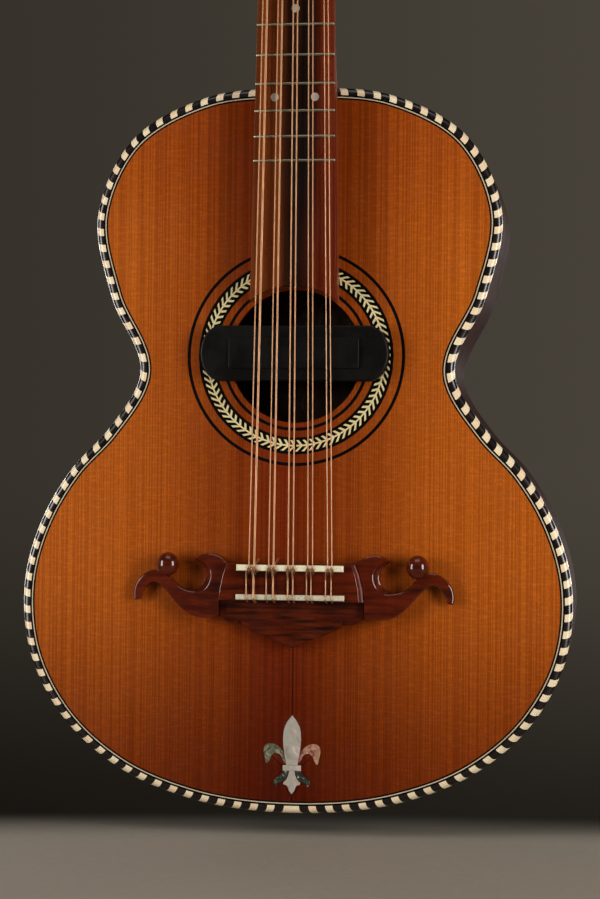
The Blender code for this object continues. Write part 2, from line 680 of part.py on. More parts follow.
def make_bridge():
    """The bridge's middle piece with its tie block, and a saddle and a tie bar of bone let into it."""
    foot_edge = drawn(mirrored([(0.0, BRIDGE_EDGE[0][1])] + BRIDGE_EDGE))
    foot = prism("bridge", foot_edge, BRIDGE_FOOT_TOP, -GAP, in_front, "carved_rosewood")
    bevel(foot, BRIDGE_ROUNDING)
    outline = tapered(TIE_BLOCK_HALF_FRONT, TIE_BLOCK_FRONT, TIE_BLOCK_HALF_REAR, TIE_BLOCK_REAR)
    block = prism("tie_block", outline, TIE_BLOCK_TOP, TIE_BLOCK_ROOT, in_front, "carved_rosewood")
    bevel(block, BRIDGE_ROUNDING)
    combine(foot, block, "UNION")
    floor = TIE_BLOCK_TOP + BAR_SEAT_DEPTH
    for name, length, thickness, distance, top in (
        ("saddle", SADDLE_LENGTH, SADDLE_THICKNESS, SCALE_LENGTH, SADDLE_TOP),
        ("tie_bar", TIE_BAR_LENGTH, TIE_BAR_THICKNESS, TIE_BAR_DISTANCE, TIE_BAR_TOP),
    ):
        seat = bar_outline(length + 2 * GAP, thickness + 2 * GAP, distance)
        combine(foot, prism("cutter", seat, top - PAST, floor + GAP, in_front, "nickel"), "DIFFERENCE")
        bar = prism(name, bar_outline(length, thickness, distance), top, floor, in_front, "bone")
        bevel(bar, BONE_ROUNDING)


def make_scrolls():
    """The carved scrolls: a horn beside the block, an arm, an arch with a ball on it and a drooping tail."""
    joint = SCROLL_EDGE[0][0]
    top = [(-x, SCROLL_FALL * (x - joint) - SCROLL_RISE_AT_JOINT, along(d)) for x, d in SCROLL_EDGE]
    bottom = [(-x, -GAP, along(d)) for x, d in SCROLL_EDGE]
    scroll = loft("bridge_scroll_left", [top, bottom], "carved_rosewood")
    bevel(scroll, SCROLL_ROUNDING)
    shape = bmesh.new()
    place = Matrix.Translation((-BALL_PLACE[0], -BALL_HEIGHT, along(BALL_PLACE[1])))
    bmesh.ops.create_uvsphere(shape, u_segments=14, v_segments=9, radius=1,
                              matrix=place @ Matrix.Diagonal((*BALL_RADII, 1)))
    combine(scroll, add_object("ball", shape, "carved_rosewood"), "UNION")
    mirror_copy(scroll, "bridge_scroll_right")


def post_places():
    """(side, place up the head) of each post: the left row from the nut up, then the right row."""
    return [(side, POST_FIRST_UP + POST_STEP * i) for side in (-1, 1) for i in range(POSTS_A_SIDE)]


def make_post_mesh():
    """A string post turned about its axis, with its toothed wheel behind the head."""
    low, high = GEAR_PLANE - GEAR_FACE / 2, GEAR_PLANE + GEAR_FACE / 2
    profile = [
        (0.0024, -0.0150), (0.0031, -0.0144), (0.0031, -0.0105), (WINDING_RADIUS, WINDING_LOW),
        (WINDING_RADIUS, WINDING_HIGH), (POST_RADIUS, -0.0035), (POST_RADIUS, high + POST_TAIL),
    ]
    post = turned("tuner_post", profile, POST_SIDES, "nickel", radians(50))
    pitch_angle = 2 * pi / GEAR_TEETH
    half_tooth = THREAD_SHARE * pitch_angle / 2
    root, tip = GEAR_PITCH_RADIUS + TOOTH_ROOT_DEPTH, GEAR_PITCH_RADIUS + TOOTH_TIP_HEIGHT
    outline = []
    for i in range(GEAR_TEETH):
        for radius, side in ((root, -TOOTH_ROOT), (tip, -TOOTH_TIP), (tip, TOOTH_TIP), (root, TOOTH_ROOT)):
            # Half a tooth's step puts a gap, not a tooth, on the side where the worm is.
            a = pitch_angle * (i + 0.5) + side * half_tooth
            outline.append((radius * sin(a), radius * cos(a)))
    combine(post, prism("wheel", outline, low, high, in_front, "bronze"), "UNION")
    return post


def make_worm_mesh():
    """A shaft with its knob and a right-hand worm, along local X, with the worm's middle at X = 0."""
    knob = KNOB_NEAR - POST_ACROSS
    # Each ring's place along the shaft, half thickness and half height.
    stations = [(-SHAFT_TAIL, SHAFT_RADIUS, SHAFT_RADIUS), (knob - KNOB_COLLAR, SHAFT_RADIUS, SHAFT_RADIUS)]
    for share, thick, tall in KNOB_STATIONS:
        stations.append((knob + (KNOB_FAR - KNOB_NEAR) * share, thick, tall))
    angles = [2 * pi * (i + 0.5) / POST_SIDES for i in range(POST_SIDES)]
    rings = [[(x, thick * cos(a), tall * sin(a)) for a in angles] for x, thick, tall in stations]
    shaft = loft("tuner_button", rings, "ivoroid", radians(50))

    pitch = pi * GEAR_MODULE
    half = THREAD_SHARE * pitch / 2
    root = SHAFT_RADIUS - GAP
    section = [(root, -half * THREAD_ROOT), (WORM_TIP_RADIUS, -half * THREAD_TIP),
               (WORM_TIP_RADIUS, half * THREAD_TIP), (root, half * THREAD_ROOT)]
    thread = []
    for i in range(WORM_TURNS * WORM_STEPS_A_TURN + 1):
        turn = i / WORM_STEPS_A_TURN - WORM_TURNS / 2
        # A quarter turn less makes the ridge cross X = 0 on the side that faces the gear, at -Z.
        a = 2 * pi * turn - pi / 2
        thread.append([(pitch * turn + shift, radius * cos(a), radius * sin(a)) for radius, shift in section])
    combine(shaft, loft("thread", thread, "nickel"), "UNION")
    return shaft


def make_machines(head_empty):
    """Ten posts and ten buttons in their places on the head, and the two plates that hold them."""
    post, shaft = make_post_mesh(), make_worm_mesh()
    for index, (side, up) in enumerate(post_places()):
        row = "left" if side < 0 else "right"
        number = index % POSTS_A_SIDE + 1
        upright = bpy.data.objects.new(f"tuner_post_{row}_{number}", post.data)
        upright.location = (side * POST_ACROSS, 0, up)
        button = bpy.data.objects.new(f"tuner_button_{row}_{number}", shaft.data)
        button.location = (side * POST_ACROSS, GEAR_PLANE, up + WORM_UP)
        # The left row is the right one turned half round, which keeps the screw right-handed.
        button.rotation_euler = (0, 0, 0 if side > 0 else pi)
        for piece in (upright, button):
            piece.parent = head_empty
            bpy.context.scene.collection.objects.link(piece)
    bpy.data.objects.remove(post)
    bpy.data.objects.remove(shaft)
    make_tuner_plate(-1, "left", head_empty)
    make_tuner_plate(1, "right", head_empty)


def make_tuner_plate(side, row, head_empty):
    """A back plate with holes for its posts, and two ears for each button's shaft."""
    front = HEAD_THICKNESS + GAP
    back = front + PLATE_THICKNESS
    heights = [POST_FIRST_UP + POST_STEP * i for i in range(POSTS_A_SIDE)]
    low, high = heights[0] - PLATE_BELOW_POST, heights[-1] + WORM_UP + PLATE_ABOVE_WORM
    near, far = side * PLATE_INNER, side * PLATE_OUTER
    outline = [(near, low), (far, low), (far, high), (near, high)]
    plate = prism(f"tuner_plate_{row}", outline, front, back, in_front, "nickel")
    for up in heights:
        low, high = up + WORM_UP - EAR_HALF_HEIGHT, up + WORM_UP + EAR_HALF_HEIGHT
        root, tip = back - EAR_ROOT, GEAR_PLANE + EAR_PAST_SHAFT
        for place in EAR_PLACES:
            start = side * (POST_ACROSS + place)
            end = start + side * EAR_THICKNESS
            outline = [(root, low), (root, high), (tip, high), (tip, low)]
            ear = prism("ear", outline, start, end, across, "nickel")
            bore = cylinder_cutter(EAR_HOLE_RADIUS, (start - side * PAST, GEAR_PLANE, up + WORM_UP),
                                   (end + side * PAST, GEAR_PLANE, up + WORM_UP))
            combine(ear, bore, "DIFFERENCE")
            combine(plate, ear, "UNION")
        bore = cylinder_cutter(POST_HOLE_RADIUS, (side * POST_ACROSS, front - PAST, up),
                               (side * POST_ACROSS, back + PAST, up))
        combine(plate, bore, "DIFFERENCE")
    plate.parent = head_empty


def string_route(number, radius, head_frame):
    """The string's middle line, from beside its post over the nut, the saddle and the tie bar, then down."""
    side = -1 if number < POSTS_A_SIDE else 1
    place = number if side < 0 else 2 * POSTS_A_SIDE - 1 - number
    beside_winding = side * (POST_ACROSS - WINDING_RADIUS - GAP - radius)
    up = POST_FIRST_UP + POST_STEP * place
    start = head_frame @ Vector((beside_winding, (WINDING_LOW + WINDING_HIGH) / 2, up))
    nut_y = STRING_FLOOR_AT_NUT - GAP - radius
    at_nut, at_saddle = nut_place(number), saddle_place(number)
    bar_rear = TIE_BAR_DISTANCE + TIE_BAR_THICKNESS / 2
    behind = along(TIE_BLOCK_REAR + radius + 2 * GAP)
    return [
        start,
        (at_nut, nut_y, along(-NUT_THICKNESS)),
        (at_nut, nut_y, along(0)),
        (at_saddle, SADDLE_TOP - GAP - radius, along(SCALE_LENGTH)),
        (at_saddle, TIE_BAR_TOP - GAP - radius, along(TIE_BAR_DISTANCE)),
        (at_saddle, TIE_BAR_TOP - GAP - radius / 2, along(bar_rear)),
        (at_saddle, TIE_BLOCK_TOP + STRING_TURN_DOWN, behind),
        (at_saddle, TIE_BLOCK_TOP + STRING_TAIL, behind),
    ]


def make_strings(head_frame):
    """Ten strings, each a tube along its route."""
    for number, diameter in enumerate(STRING_DIAMETERS):
        name = f"string_{number + 1}"
        route = string_route(number, diameter / 2, head_frame)
        curve = bpy.data.curves.new(name, "CURVE")
        curve.dimensions = "3D"
        curve.bevel_depth = diameter / 2
        curve.bevel_resolution = 1
        curve.use_fill_caps = True
        spline = curve.splines.new("POLY")
        spline.points.add(len(route) - 1)
        for point, place in zip(spline.points, route):
            point.co = (*place, 1)
        curve.materials.append(finish_of("bronze"))
        bpy.context.scene.collection.objects.link(bpy.data.objects.new(name, curve))


def main():
    clear_scene()
    head_origin = Vector((0, BOARD_BACK + GAP, along(-NUT_THICKNESS)))
    head_frame = Matrix.Translation(head_origin) @ Matrix.Rotation(-HEAD_TILT, 4, "X")
    head_empty = bpy.data.objects.new("head_frame", None)
    head_empty.matrix_world = head_frame
    bpy.context.scene.collection.objects.link(head_empty)

    make_body(body_loop())
    make_pickup()
    make_neck(head_frame)
    make_fingerboard()
    make_nut()
    make_bridge()
    make_scrolls()
    make_machines(head_empty)
    make_strings(head_frame)


main()
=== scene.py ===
# %% [markdown]
# # A bajo quinto in a studio
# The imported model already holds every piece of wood, bone and metal in its place. This script loads it
# as a fixed frame, gives each piece its finish, and rebuilds the ones whose curves, blocks or carving a
# plain solid only sketches. Loading comes first, because each new piece is measured from that frame.

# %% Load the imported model
import json
from math import cos, pi, radians, sin, sqrt

import bmesh
import bpy
from mathutils import Matrix, Vector
from mathutils.geometry import delaunay_2d_cdt, intersect_line_line_2d

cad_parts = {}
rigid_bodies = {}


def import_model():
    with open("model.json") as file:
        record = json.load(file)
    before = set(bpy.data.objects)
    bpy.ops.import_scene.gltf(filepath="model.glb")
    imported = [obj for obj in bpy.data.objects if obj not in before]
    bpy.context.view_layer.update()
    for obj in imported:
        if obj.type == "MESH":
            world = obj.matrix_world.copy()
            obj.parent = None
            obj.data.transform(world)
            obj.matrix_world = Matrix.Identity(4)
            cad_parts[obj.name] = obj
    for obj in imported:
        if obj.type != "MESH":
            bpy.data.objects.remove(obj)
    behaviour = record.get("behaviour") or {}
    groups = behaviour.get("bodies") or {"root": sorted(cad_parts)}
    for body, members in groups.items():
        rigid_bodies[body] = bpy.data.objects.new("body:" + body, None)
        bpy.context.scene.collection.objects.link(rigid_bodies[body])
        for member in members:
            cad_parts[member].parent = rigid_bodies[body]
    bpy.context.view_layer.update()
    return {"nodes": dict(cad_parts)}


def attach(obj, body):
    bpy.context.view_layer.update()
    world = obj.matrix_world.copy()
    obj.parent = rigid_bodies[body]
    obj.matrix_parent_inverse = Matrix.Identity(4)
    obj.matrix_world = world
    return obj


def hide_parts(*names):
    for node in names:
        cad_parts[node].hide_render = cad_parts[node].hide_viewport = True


for old in list(bpy.data.objects):
    bpy.data.objects.remove(old)
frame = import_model()
nodes = frame["nodes"]
print(len(nodes), "pieces in the packed model")

# %% [markdown]
# ## The camera
# The photograph was taken from slightly right of the instrument, about 1.6 m away, with the camera nearly
# level. Three small turns bring the upright instrument into that view. A long lens keeps the body's two
# sides nearly as even as they look there, and the sensor is set by its height because the picture is tall.

# %% The camera at the photograph's angle
YAW, PITCH, ROLL = radians(-8.06), radians(-0.84), radians(0.545)
CAMERA_DISTANCE, CAMERA_AIM = 1.6128, Vector((0.0035, 0.0, -0.5428))
LENS = 96.1


def new_object(name, data):
    """An object in the scene that shows this data."""
    made = bpy.data.objects.new(name, data)
    bpy.context.scene.collection.objects.link(made)
    return made


turn = Matrix.Rotation(ROLL, 3, "Y") @ Matrix.Rotation(PITCH, 3, "X") @ Matrix.Rotation(YAW, 3, "Z")
to_right, ahead, upward = (turn.row[i].copy() for i in range(3))
camera_data = bpy.data.cameras.new("camera")
camera_data.lens = LENS
camera_data.sensor_fit = "VERTICAL"
camera_data.sensor_height = 36
camera = new_object("camera", camera_data)
facing = Matrix((to_right, upward, -ahead)).transposed().to_4x4()
camera.matrix_world = Matrix.Translation(CAMERA_AIM - ahead * CAMERA_DISTANCE) @ facing
bpy.context.scene.camera = camera
bpy.context.scene.view_settings.view_transform = "Standard"
print("camera at", [round(value, 3) for value in camera.matrix_world.translation])

# %% [markdown]
# ## Building with nodes
# Both the studio and every finish are made of nodes. Writing nodes one by one is long, so one helper
# adds a node, sets its properties and then fills its inputs: a socket is linked, anything else is set.
# Some nodes keep several inputs of one name and switch them by kind, so the helper takes the live one.

# %% Helpers that add nodes
def live(sockets, name):
    """The socket with this number or name that the node uses in its present state."""
    if isinstance(name, int):
        return sockets[name]
    return next(socket for socket in sockets if socket.name == name and socket.enabled)


def put(tree, kind, inputs=None, **properties):
    """Adds a node with these properties and inputs."""
    node = tree.nodes.new(kind)
    for name, value in properties.items():
        setattr(node, name, value)
    for name, value in (inputs or {}).items():
        socket = live(node.inputs, name)
        if isinstance(value, bpy.types.NodeSocket):
            tree.links.new(value, socket)
        else:
            socket.default_value = value
    return node


def maths(tree, operation, first, second=0.0, third=0.0, clamp=False):
    """The result of one Math node."""
    inputs = {0: first, 1: second, 2: third}
    return put(tree, "ShaderNodeMath", inputs, operation=operation, use_clamp=clamp).outputs[0]


def blend(tree, share, first, second, how="MIX"):
    """Two colours mixed."""
    inputs = {"Factor": share, "A": first, "B": second}
    return live(put(tree, "ShaderNodeMix", inputs, data_type="RGBA", blend_type=how).outputs, "Result")


def between(tree, value, low, high, to_low=0.0, to_high=1.0):
    """A value taken smoothly from one range to another."""
    inputs = {"Value": value, "From Min": low, "From Max": high, "To Min": to_low, "To Max": to_high}
    return live(put(tree, "ShaderNodeMapRange", inputs, interpolation_type="SMOOTHSTEP").outputs, "Result")


def paint(red, green, blue):
    """A colour as it looks on screen, from 0 to 255, made linear."""
    made = []
    for value in (red / 255, green / 255, blue / 255):
        made.append(value / 12.92 if value <= 0.04045 else ((value + 0.055) / 1.055) ** 2.4)
    return (*made, 1.0)


print("a mid grey is", round(paint(128, 128, 128)[0], 3), "in linear light")

# %% [markdown]
# ## The studio
# The instrument hangs in front of a dark backdrop, between two tall soft lights, one at each side. Lights
# so far round leave no reflection on the flat top, which keeps its orange deep, and they show as two tall
# windows in everything round and glossy. A weak fill hangs above, and two lights behind reach the back. The
# backdrop is only what the camera sees of the world; all else gets a dim grey from it. Its brighter right
# side is painted light. The pale floor fades out round its edge, so no horizon cuts behind the body, and it
# ends under the tail, where the dark backdrop stands in for the shadow below the tail: painted shadow.

# %% Backdrop, lights and floor
world = bpy.data.worlds.new("studio")
bpy.context.scene.world = world
world.use_nodes = True
sky = world.node_tree
sky.nodes.clear()
direction = put(sky, "ShaderNodeSeparateXYZ", {0: sky.nodes.new("ShaderNodeTexCoord").outputs["Generated"]})
# The backdrop is darker low down. Towards the right it is painted brighter: painted light, as from the
# stronger right lamp.
rising = between(sky, direction.outputs["Z"], -0.15, 0.01)
backdrop = blend(sky, rising, paint(28, 25, 21), paint(63, 58, 50))
sideways = between(sky, direction.outputs["X"], -0.30, 0.05, 0.74, 1.32)
seen = put(sky, "ShaderNodeBackground", {"Color": backdrop, "Strength": sideways})
unseen = put(sky, "ShaderNodeBackground", {"Color": (0.60, 0.56, 0.50, 1), "Strength": 0.07})
from_camera = sky.nodes.new("ShaderNodeLightPath").outputs["Is Camera Ray"]
chosen = put(sky, "ShaderNodeMixShader", {0: from_camera, 1: unseen.outputs[0], 2: seen.outputs[0]})
put(sky, "ShaderNodeOutputWorld", {"Surface": chosen.outputs[0]})


def soft_light(name, place, target, width, height, power, colour):
    """A rectangular soft light that looks at a point."""
    data = bpy.data.lights.new(name, "AREA")
    data.shape = "RECTANGLE"
    data.size = width
    data.size_y = height
    data.energy = power
    data.color = colour[:3]
    made = new_object(name, data)
    looking = (Vector(target) - Vector(place)).to_track_quat("-Z", "Y").to_matrix().to_4x4()
    made.matrix_world = Matrix.Translation(place) @ looking
    print(name, power, "W")


BODY_MIDDLE = (0.0, 0.0, -0.50)
soft_light("window_left", (-1.35, -0.85, -0.45), BODY_MIDDLE, 0.5, 1.0, 19, (1.0, 0.96, 0.90))
soft_light("window_right", (1.35, -0.85, -0.45), BODY_MIDDLE, 0.5, 1.0, 22, (1.0, 0.95, 0.89))
soft_light("fill_above", (0.0, -0.7, 0.9), BODY_MIDDLE, 1.2, 0.8, 5, (1.0, 0.98, 0.96))
soft_light("behind_left", (-1.3, 1.4, -0.42), BODY_MIDDLE, 0.6, 0.7, 9, (1.0, 0.98, 0.96))
soft_light("behind_right", (1.3, 1.4, -0.42), BODY_MIDDLE, 0.6, 0.7, 9, (1.0, 0.98, 0.96))

FLOOR_MIDDLE, FLOOR_REACH = Vector((0.0, -0.44, -0.802)), 0.95
# The visible part is wider than deep, square to the camera, and ends under the instrument, so that the dark
# backdrop shows below the tail as painted shadow, in place of the instrument's shadow there. It is whole up
# to the first of two distances and gone at the second.
FLOOR_SIDEWAYS, FLOOR_DEEP, FLOOR_FADE_AND_SHADOW = (0.61, 0.087, 0.0), (-0.140, 0.990, 0.0), (0.42, 0.56)
shape = bmesh.new()
bmesh.ops.create_circle(shape, cap_ends=True, segments=96, radius=FLOOR_REACH,
                        matrix=Matrix.Translation(FLOOR_MIDDLE))
floor_mesh = bpy.data.meshes.new("floor")
shape.to_mesh(floor_mesh)
shape.free()
floor_paper = bpy.data.materials.new("floor_paper")
floor_paper.use_nodes = True
paper = floor_paper.node_tree
here = paper.nodes.new("ShaderNodeTexCoord").outputs["Object"]
sideways = put(paper, "ShaderNodeVectorMath", {0: here, 1: FLOOR_SIDEWAYS}, operation="DOT_PRODUCT")
deep = put(paper, "ShaderNodeVectorMath", {0: here, 1: FLOOR_DEEP}, operation="DOT_PRODUCT")
squared = {0: sideways.outputs["Value"], 1: deep.outputs["Value"]}
squared = put(paper, "ShaderNodeCombineXYZ", squared).outputs[0]
far = put(paper, "ShaderNodeVectorMath", {0: squared, 1: (0.0, FLOOR_MIDDLE.y, 0.0)}, operation="DISTANCE")
floor_shader = paper.nodes["Principled BSDF"]
# The fade, whose edge under the tail leaves the dark backdrop there as painted shadow.
paper.links.new(between(paper, far.outputs["Value"], *FLOOR_FADE_AND_SHADOW, 1.0, 0.0), floor_shader.inputs["Alpha"])
fibres = put(paper, "ShaderNodeTexNoise", {"Vector": here, "Scale": 260.0, "Detail": 4.0}).outputs[0]
sheet = blend(paper, fibres, paint(140, 131, 118), paint(154, 146, 133))
paper.links.new(sheet, floor_shader.inputs["Base Color"])
floor_shader.inputs["Roughness"].default_value = 0.85
floor_mesh.materials.append(floor_paper)
floor = new_object("floor", floor_mesh)

# %% [markdown]
# ## Wood, once for all
# Every wood here shows the same four things at different sizes: fine growth lines, broader bands, slow
# blotches and open pores. All of them are noise stretched along the grain, so one shader group makes them
# from a vector whose first part runs across the lines and whose second runs along them. A finish only
# says which way its board was cut, how close the lines lie, and which colours the masks mix.

# %% The shader group for grain
def new_group(name, inputs, outputs):
    """A shader group with float and vector sockets. Returns it with its own inputs and outputs."""
    tree = bpy.data.node_groups.new(name, "ShaderNodeTree")
    for label, kind, value in inputs:
        socket = tree.interface.new_socket(label, in_out="INPUT", socket_type=kind)
        if value is not None:
            socket.default_value = value
    for label in outputs:
        tree.interface.new_socket(label, in_out="OUTPUT", socket_type="NodeSocketFloat")
    return tree, tree.nodes.new("NodeGroupInput").outputs, tree.nodes.new("NodeGroupOutput").inputs


def stretched_noise(tree, vector, across, along_it, detail, roughness=0.55):
    """Noise with these many features a metre across the grain and along it."""
    sizes = put(tree, "ShaderNodeCombineXYZ", {0: across, 1: along_it, 2: across})
    scaled = put(tree, "ShaderNodeVectorMath", {0: vector, 1: sizes.outputs[0]}, operation="MULTIPLY")
    inputs = {"Vector": scaled.outputs[0], "Scale": 1.0, "Detail": detail, "Roughness": roughness}
    return put(tree, "ShaderNodeTexNoise", inputs).outputs[0]


grain, given, result = new_group(
    "grain",
    [("Vector", "NodeSocketVector", None), ("Across", "NodeSocketFloat", 700.0),
     ("Along", "NodeSocketFloat", 4.0), ("Shift", "NodeSocketFloat", 0.0)],
    ["Lines", "Bands", "Blotches", "Pores"],
)
moved = put(grain, "ShaderNodeVectorMath", {0: given["Vector"], 1: given["Shift"]}, operation="ADD")
moved = moved.outputs[0]
lines = stretched_noise(grain, moved, given["Across"], given["Along"], 3.0)
grain.links.new(between(grain, lines, 0.34, 0.66), result["Lines"])
bands = stretched_noise(grain, moved, maths(grain, "MULTIPLY", given["Across"], 0.12),
                        maths(grain, "MULTIPLY", given["Along"], 0.5), 2.0)
grain.links.new(between(grain, bands, 0.32, 0.68), result["Bands"])
blotches = stretched_noise(grain, moved, maths(grain, "MULTIPLY", given["Across"], 0.025),
                           maths(grain, "MULTIPLY", given["Along"], 2.2), 2.0)
grain.links.new(between(grain, blotches, 0.30, 0.70), result["Blotches"])
pores = stretched_noise(grain, moved, 2600.0, 260.0, 1.0)
grain.links.new(between(grain, pores, 0.63, 0.72), result["Pores"])
print("grain gives", [socket.name for socket in result if socket.name])

# %% [markdown]
# ## Marks of use, once for all
# No surface is evenly glossy. A second group gives slow smudges for the roughness and a very fine
# unevenness for the bump, and every finish takes both at its own strength.

# %% The shader group for smudges
smudges, given, result = new_group(
    "smudges",
    [("Vector", "NodeSocketVector", None), ("Size", "NodeSocketFloat", 40.0)],
    ["Smudge", "Unevenness"],
)
slow = put(smudges, "ShaderNodeTexNoise", {"Vector": given["Vector"], "Scale": given["Size"], "Detail": 5.0})
smudges.links.new(between(smudges, slow.outputs[0], 0.3, 0.7), result["Smudge"])
fine_size = maths(smudges, "MULTIPLY", given["Size"], 22.0)
fine = put(smudges, "ShaderNodeTexNoise", {"Vector": given["Vector"], "Scale": fine_size, "Detail": 2.0})
smudges.links.new(fine.outputs[0], result["Unevenness"])
print("smudges gives", [socket.name for socket in result if socket.name])

# %% [markdown]
# ## A finish's common parts
# Each finish starts as a material whose shader has its fixed numbers, and ends with the same three wires:
# colour, roughness with smudges in it, and a bump. These helpers write the start and the end, so that the
# cells below hold only what makes each finish itself.

# %% Helpers that start and end a finish
def start_finish(name, **numbers):
    """A new material, its tree, and object coordinates split into their parts."""
    made = bpy.data.materials.new(name)
    made.use_nodes = True
    tree = made.node_tree
    shader = tree.nodes["Principled BSDF"]
    for label, value in numbers.items():
        shader.inputs[label.replace("_", " ")].default_value = value
    place = tree.nodes.new("ShaderNodeTexCoord").outputs["Object"]
    parts = put(tree, "ShaderNodeSeparateXYZ", {0: place}).outputs
    return made, tree, place, parts


def use_group(tree, group, inputs):
    """Places a shader group in a finish."""
    return put(tree, "ShaderNodeGroup", inputs, node_tree=group).outputs


def end_finish(tree, place, colour, smooth, rough, height=None, bump=0.1, size=40.0):
    """Wires the colour, the roughness between two values, and the bump."""
    shader = tree.nodes["Principled BSDF"]
    marks = use_group(tree, smudges, {"Vector": place, "Size": size})
    tree.links.new(colour, shader.inputs["Base Color"])
    tree.links.new(between(tree, marks["Smudge"], 0.0, 1.0, smooth, rough), shader.inputs["Roughness"])
    surface = marks["Unevenness"] if height is None else maths(
        tree, "MULTIPLY_ADD", marks["Unevenness"], 0.25, height)
    inputs = {"Height": surface, "Strength": bump, "Distance": 0.0002}
    tree.links.new(put(tree, "ShaderNodeBump", inputs).outputs[0], shader.inputs["Normal"])


def wood(name, colours, across, along_it, axes, book=False, shift=0.0, smooth=0.3, rough=0.45,
         pore_strength=0.6, bump=0.15, **numbers):
    """A wood whose colours run dark, middle, light. Axes name the ways across, along and through it."""
    made, tree, place, parts = start_finish(name, **numbers)
    first = maths(tree, "ABSOLUTE", parts[axes[0]]) if book else parts[axes[0]]
    vector = put(tree, "ShaderNodeCombineXYZ", {0: first, 1: parts[axes[1]], 2: parts[axes[2]]}).outputs[0]
    figure = use_group(tree, grain, {"Vector": vector, "Across": across, "Along": along_it, "Shift": shift})
    dark, middle, light = colours
    colour = blend(tree, figure["Bands"], dark, middle)
    colour = blend(tree, maths(tree, "MULTIPLY", figure["Lines"], 0.7), colour, light)
    colour = blend(tree, maths(tree, "MULTIPLY", figure["Blotches"], 0.35), colour, dark)
    colour = blend(tree, maths(tree, "MULTIPLY", figure["Pores"], pore_strength), colour,
                   tuple(value * 0.25 for value in dark[:3]) + (1.0,))
    height = maths(tree, "SUBTRACT", figure["Lines"], figure["Pores"])
    end_finish(tree, place, colour, smooth, rough, height, bump)
    return made


print("helpers ready")

# %% [markdown]
# ## The cedar top
# The top is two halves of one cedar board, opened like a book, so the grain mirrors about the middle
# seam. The wood nearest the seam is dark red and it turns orange towards the sides. Short silky flecks
# cross the grain. Taking the distance from the seam as the coordinate gives the mirror, and the same
# distance picks the colour. The oil finish is satin, so the grain is felt in the bump as well.

# %% The finish of the top
def cedar_top():
    made, tree, place, parts = start_finish("top_cedar", Specular_IOR_Level=0.10)
    seam = maths(tree, "ABSOLUTE", parts["X"])
    vector = put(tree, "ShaderNodeCombineXYZ", {0: seam, 1: parts["Z"], 2: parts["Y"]}).outputs[0]
    figure = use_group(tree, grain, {"Vector": vector, "Across": 1050.0, "Along": 2.2, "Shift": 3.7})
    # The dark heartwood lies along the seam; its centre is moved a little to the left as painted shade, for
    # the weaker light on the left.
    heart_and_left_shade = maths(tree, "ABSOLUTE", maths(tree, "ADD", parts["X"], 0.007))
    wander = maths(tree, "MULTIPLY_ADD", figure["Bands"], 0.016, maths(tree, "SUBTRACT", heart_and_left_shade, 0.008))
    colour = blend(tree, between(tree, wander, 0.000, 0.055), paint(120, 42, 4), paint(152, 71, 14))
    colour = blend(tree, between(tree, wander, 0.045, 0.120), colour, paint(184, 96, 24))
    # Painted shade: the colour is multiplied darker towards the tail, where the light falls off, and a little
    # darker near the neck, where the board shades the top.
    low = between(tree, parts["Z"], -0.60, -0.79)
    colour = blend(tree, low, colour, (0.42, 0.27, 0.25, 1.0), "MULTIPLY")
    high = between(tree, parts["Z"], -0.42, -0.33)
    colour = blend(tree, high, colour, (0.85, 0.75, 0.70, 1.0), "MULTIPLY")
    darker = blend(tree, 1.0, colour, (0.55, 0.42, 0.32, 1.0), "MULTIPLY")
    crisp = between(tree, figure["Lines"], 0.25, 0.75)
    colour = blend(tree, maths(tree, "MULTIPLY", crisp, 0.64), colour, darker)
    colour = blend(tree, maths(tree, "MULTIPLY", figure["Bands"], 0.16), colour, darker)
    # Short fibres, finer than the growth lines, break them up.
    fibres = between(tree, stretched_noise(tree, vector, 1700.0, 330.0, 3.0), 0.35, 0.65)
    colour = blend(tree, maths(tree, "MULTIPLY", fibres, 0.36), colour, darker)
    cross = stretched_noise(tree, vector, 120.0, 600.0, 2.0)
    silk = maths(tree, "MULTIPLY", between(tree, cross, 0.45, 0.70), 0.45)
    colour = blend(tree, silk, colour, blend(tree, 1.0, colour, (1.5, 1.5, 1.6, 1.0), "MULTIPLY"))
    # The glued seam shows as a dark line that grows stronger towards the tail.
    glue = between(tree, parts["Z"], -0.58, -0.76, 0.50, 0.95)
    seam_line = maths(tree, "MULTIPLY", between(tree, seam, 0.0002, 0.0007, 1.0, 0.0), glue)
    colour = blend(tree, seam_line, colour, paint(30, 9, 3))
    end_finish(tree, place, colour, 0.38, 0.50, maths(tree, "SUBTRACT", 1.0, crisp), 0.22)
    return made


top_cedar = cedar_top()
print("finish:", top_cedar.name)

# %% [markdown]
# ## The other woods
# Rosewood serves five times. Its grain runs along the neck in the fingerboard, across the body in the
# bridge's foot and carving, and up it in the sides and the back. On a real side, which is bent, the grain
# follows the bend. Here it stays upright, so it breaks into specks where the side turns. The carving is
# polished until it shines. The neck is a plainer red cedar, and the parts inside are pale spruce, left
# bare. The fingerboard changes colour from side to side, so it has a finish of its own. All the others come
# from one helper.

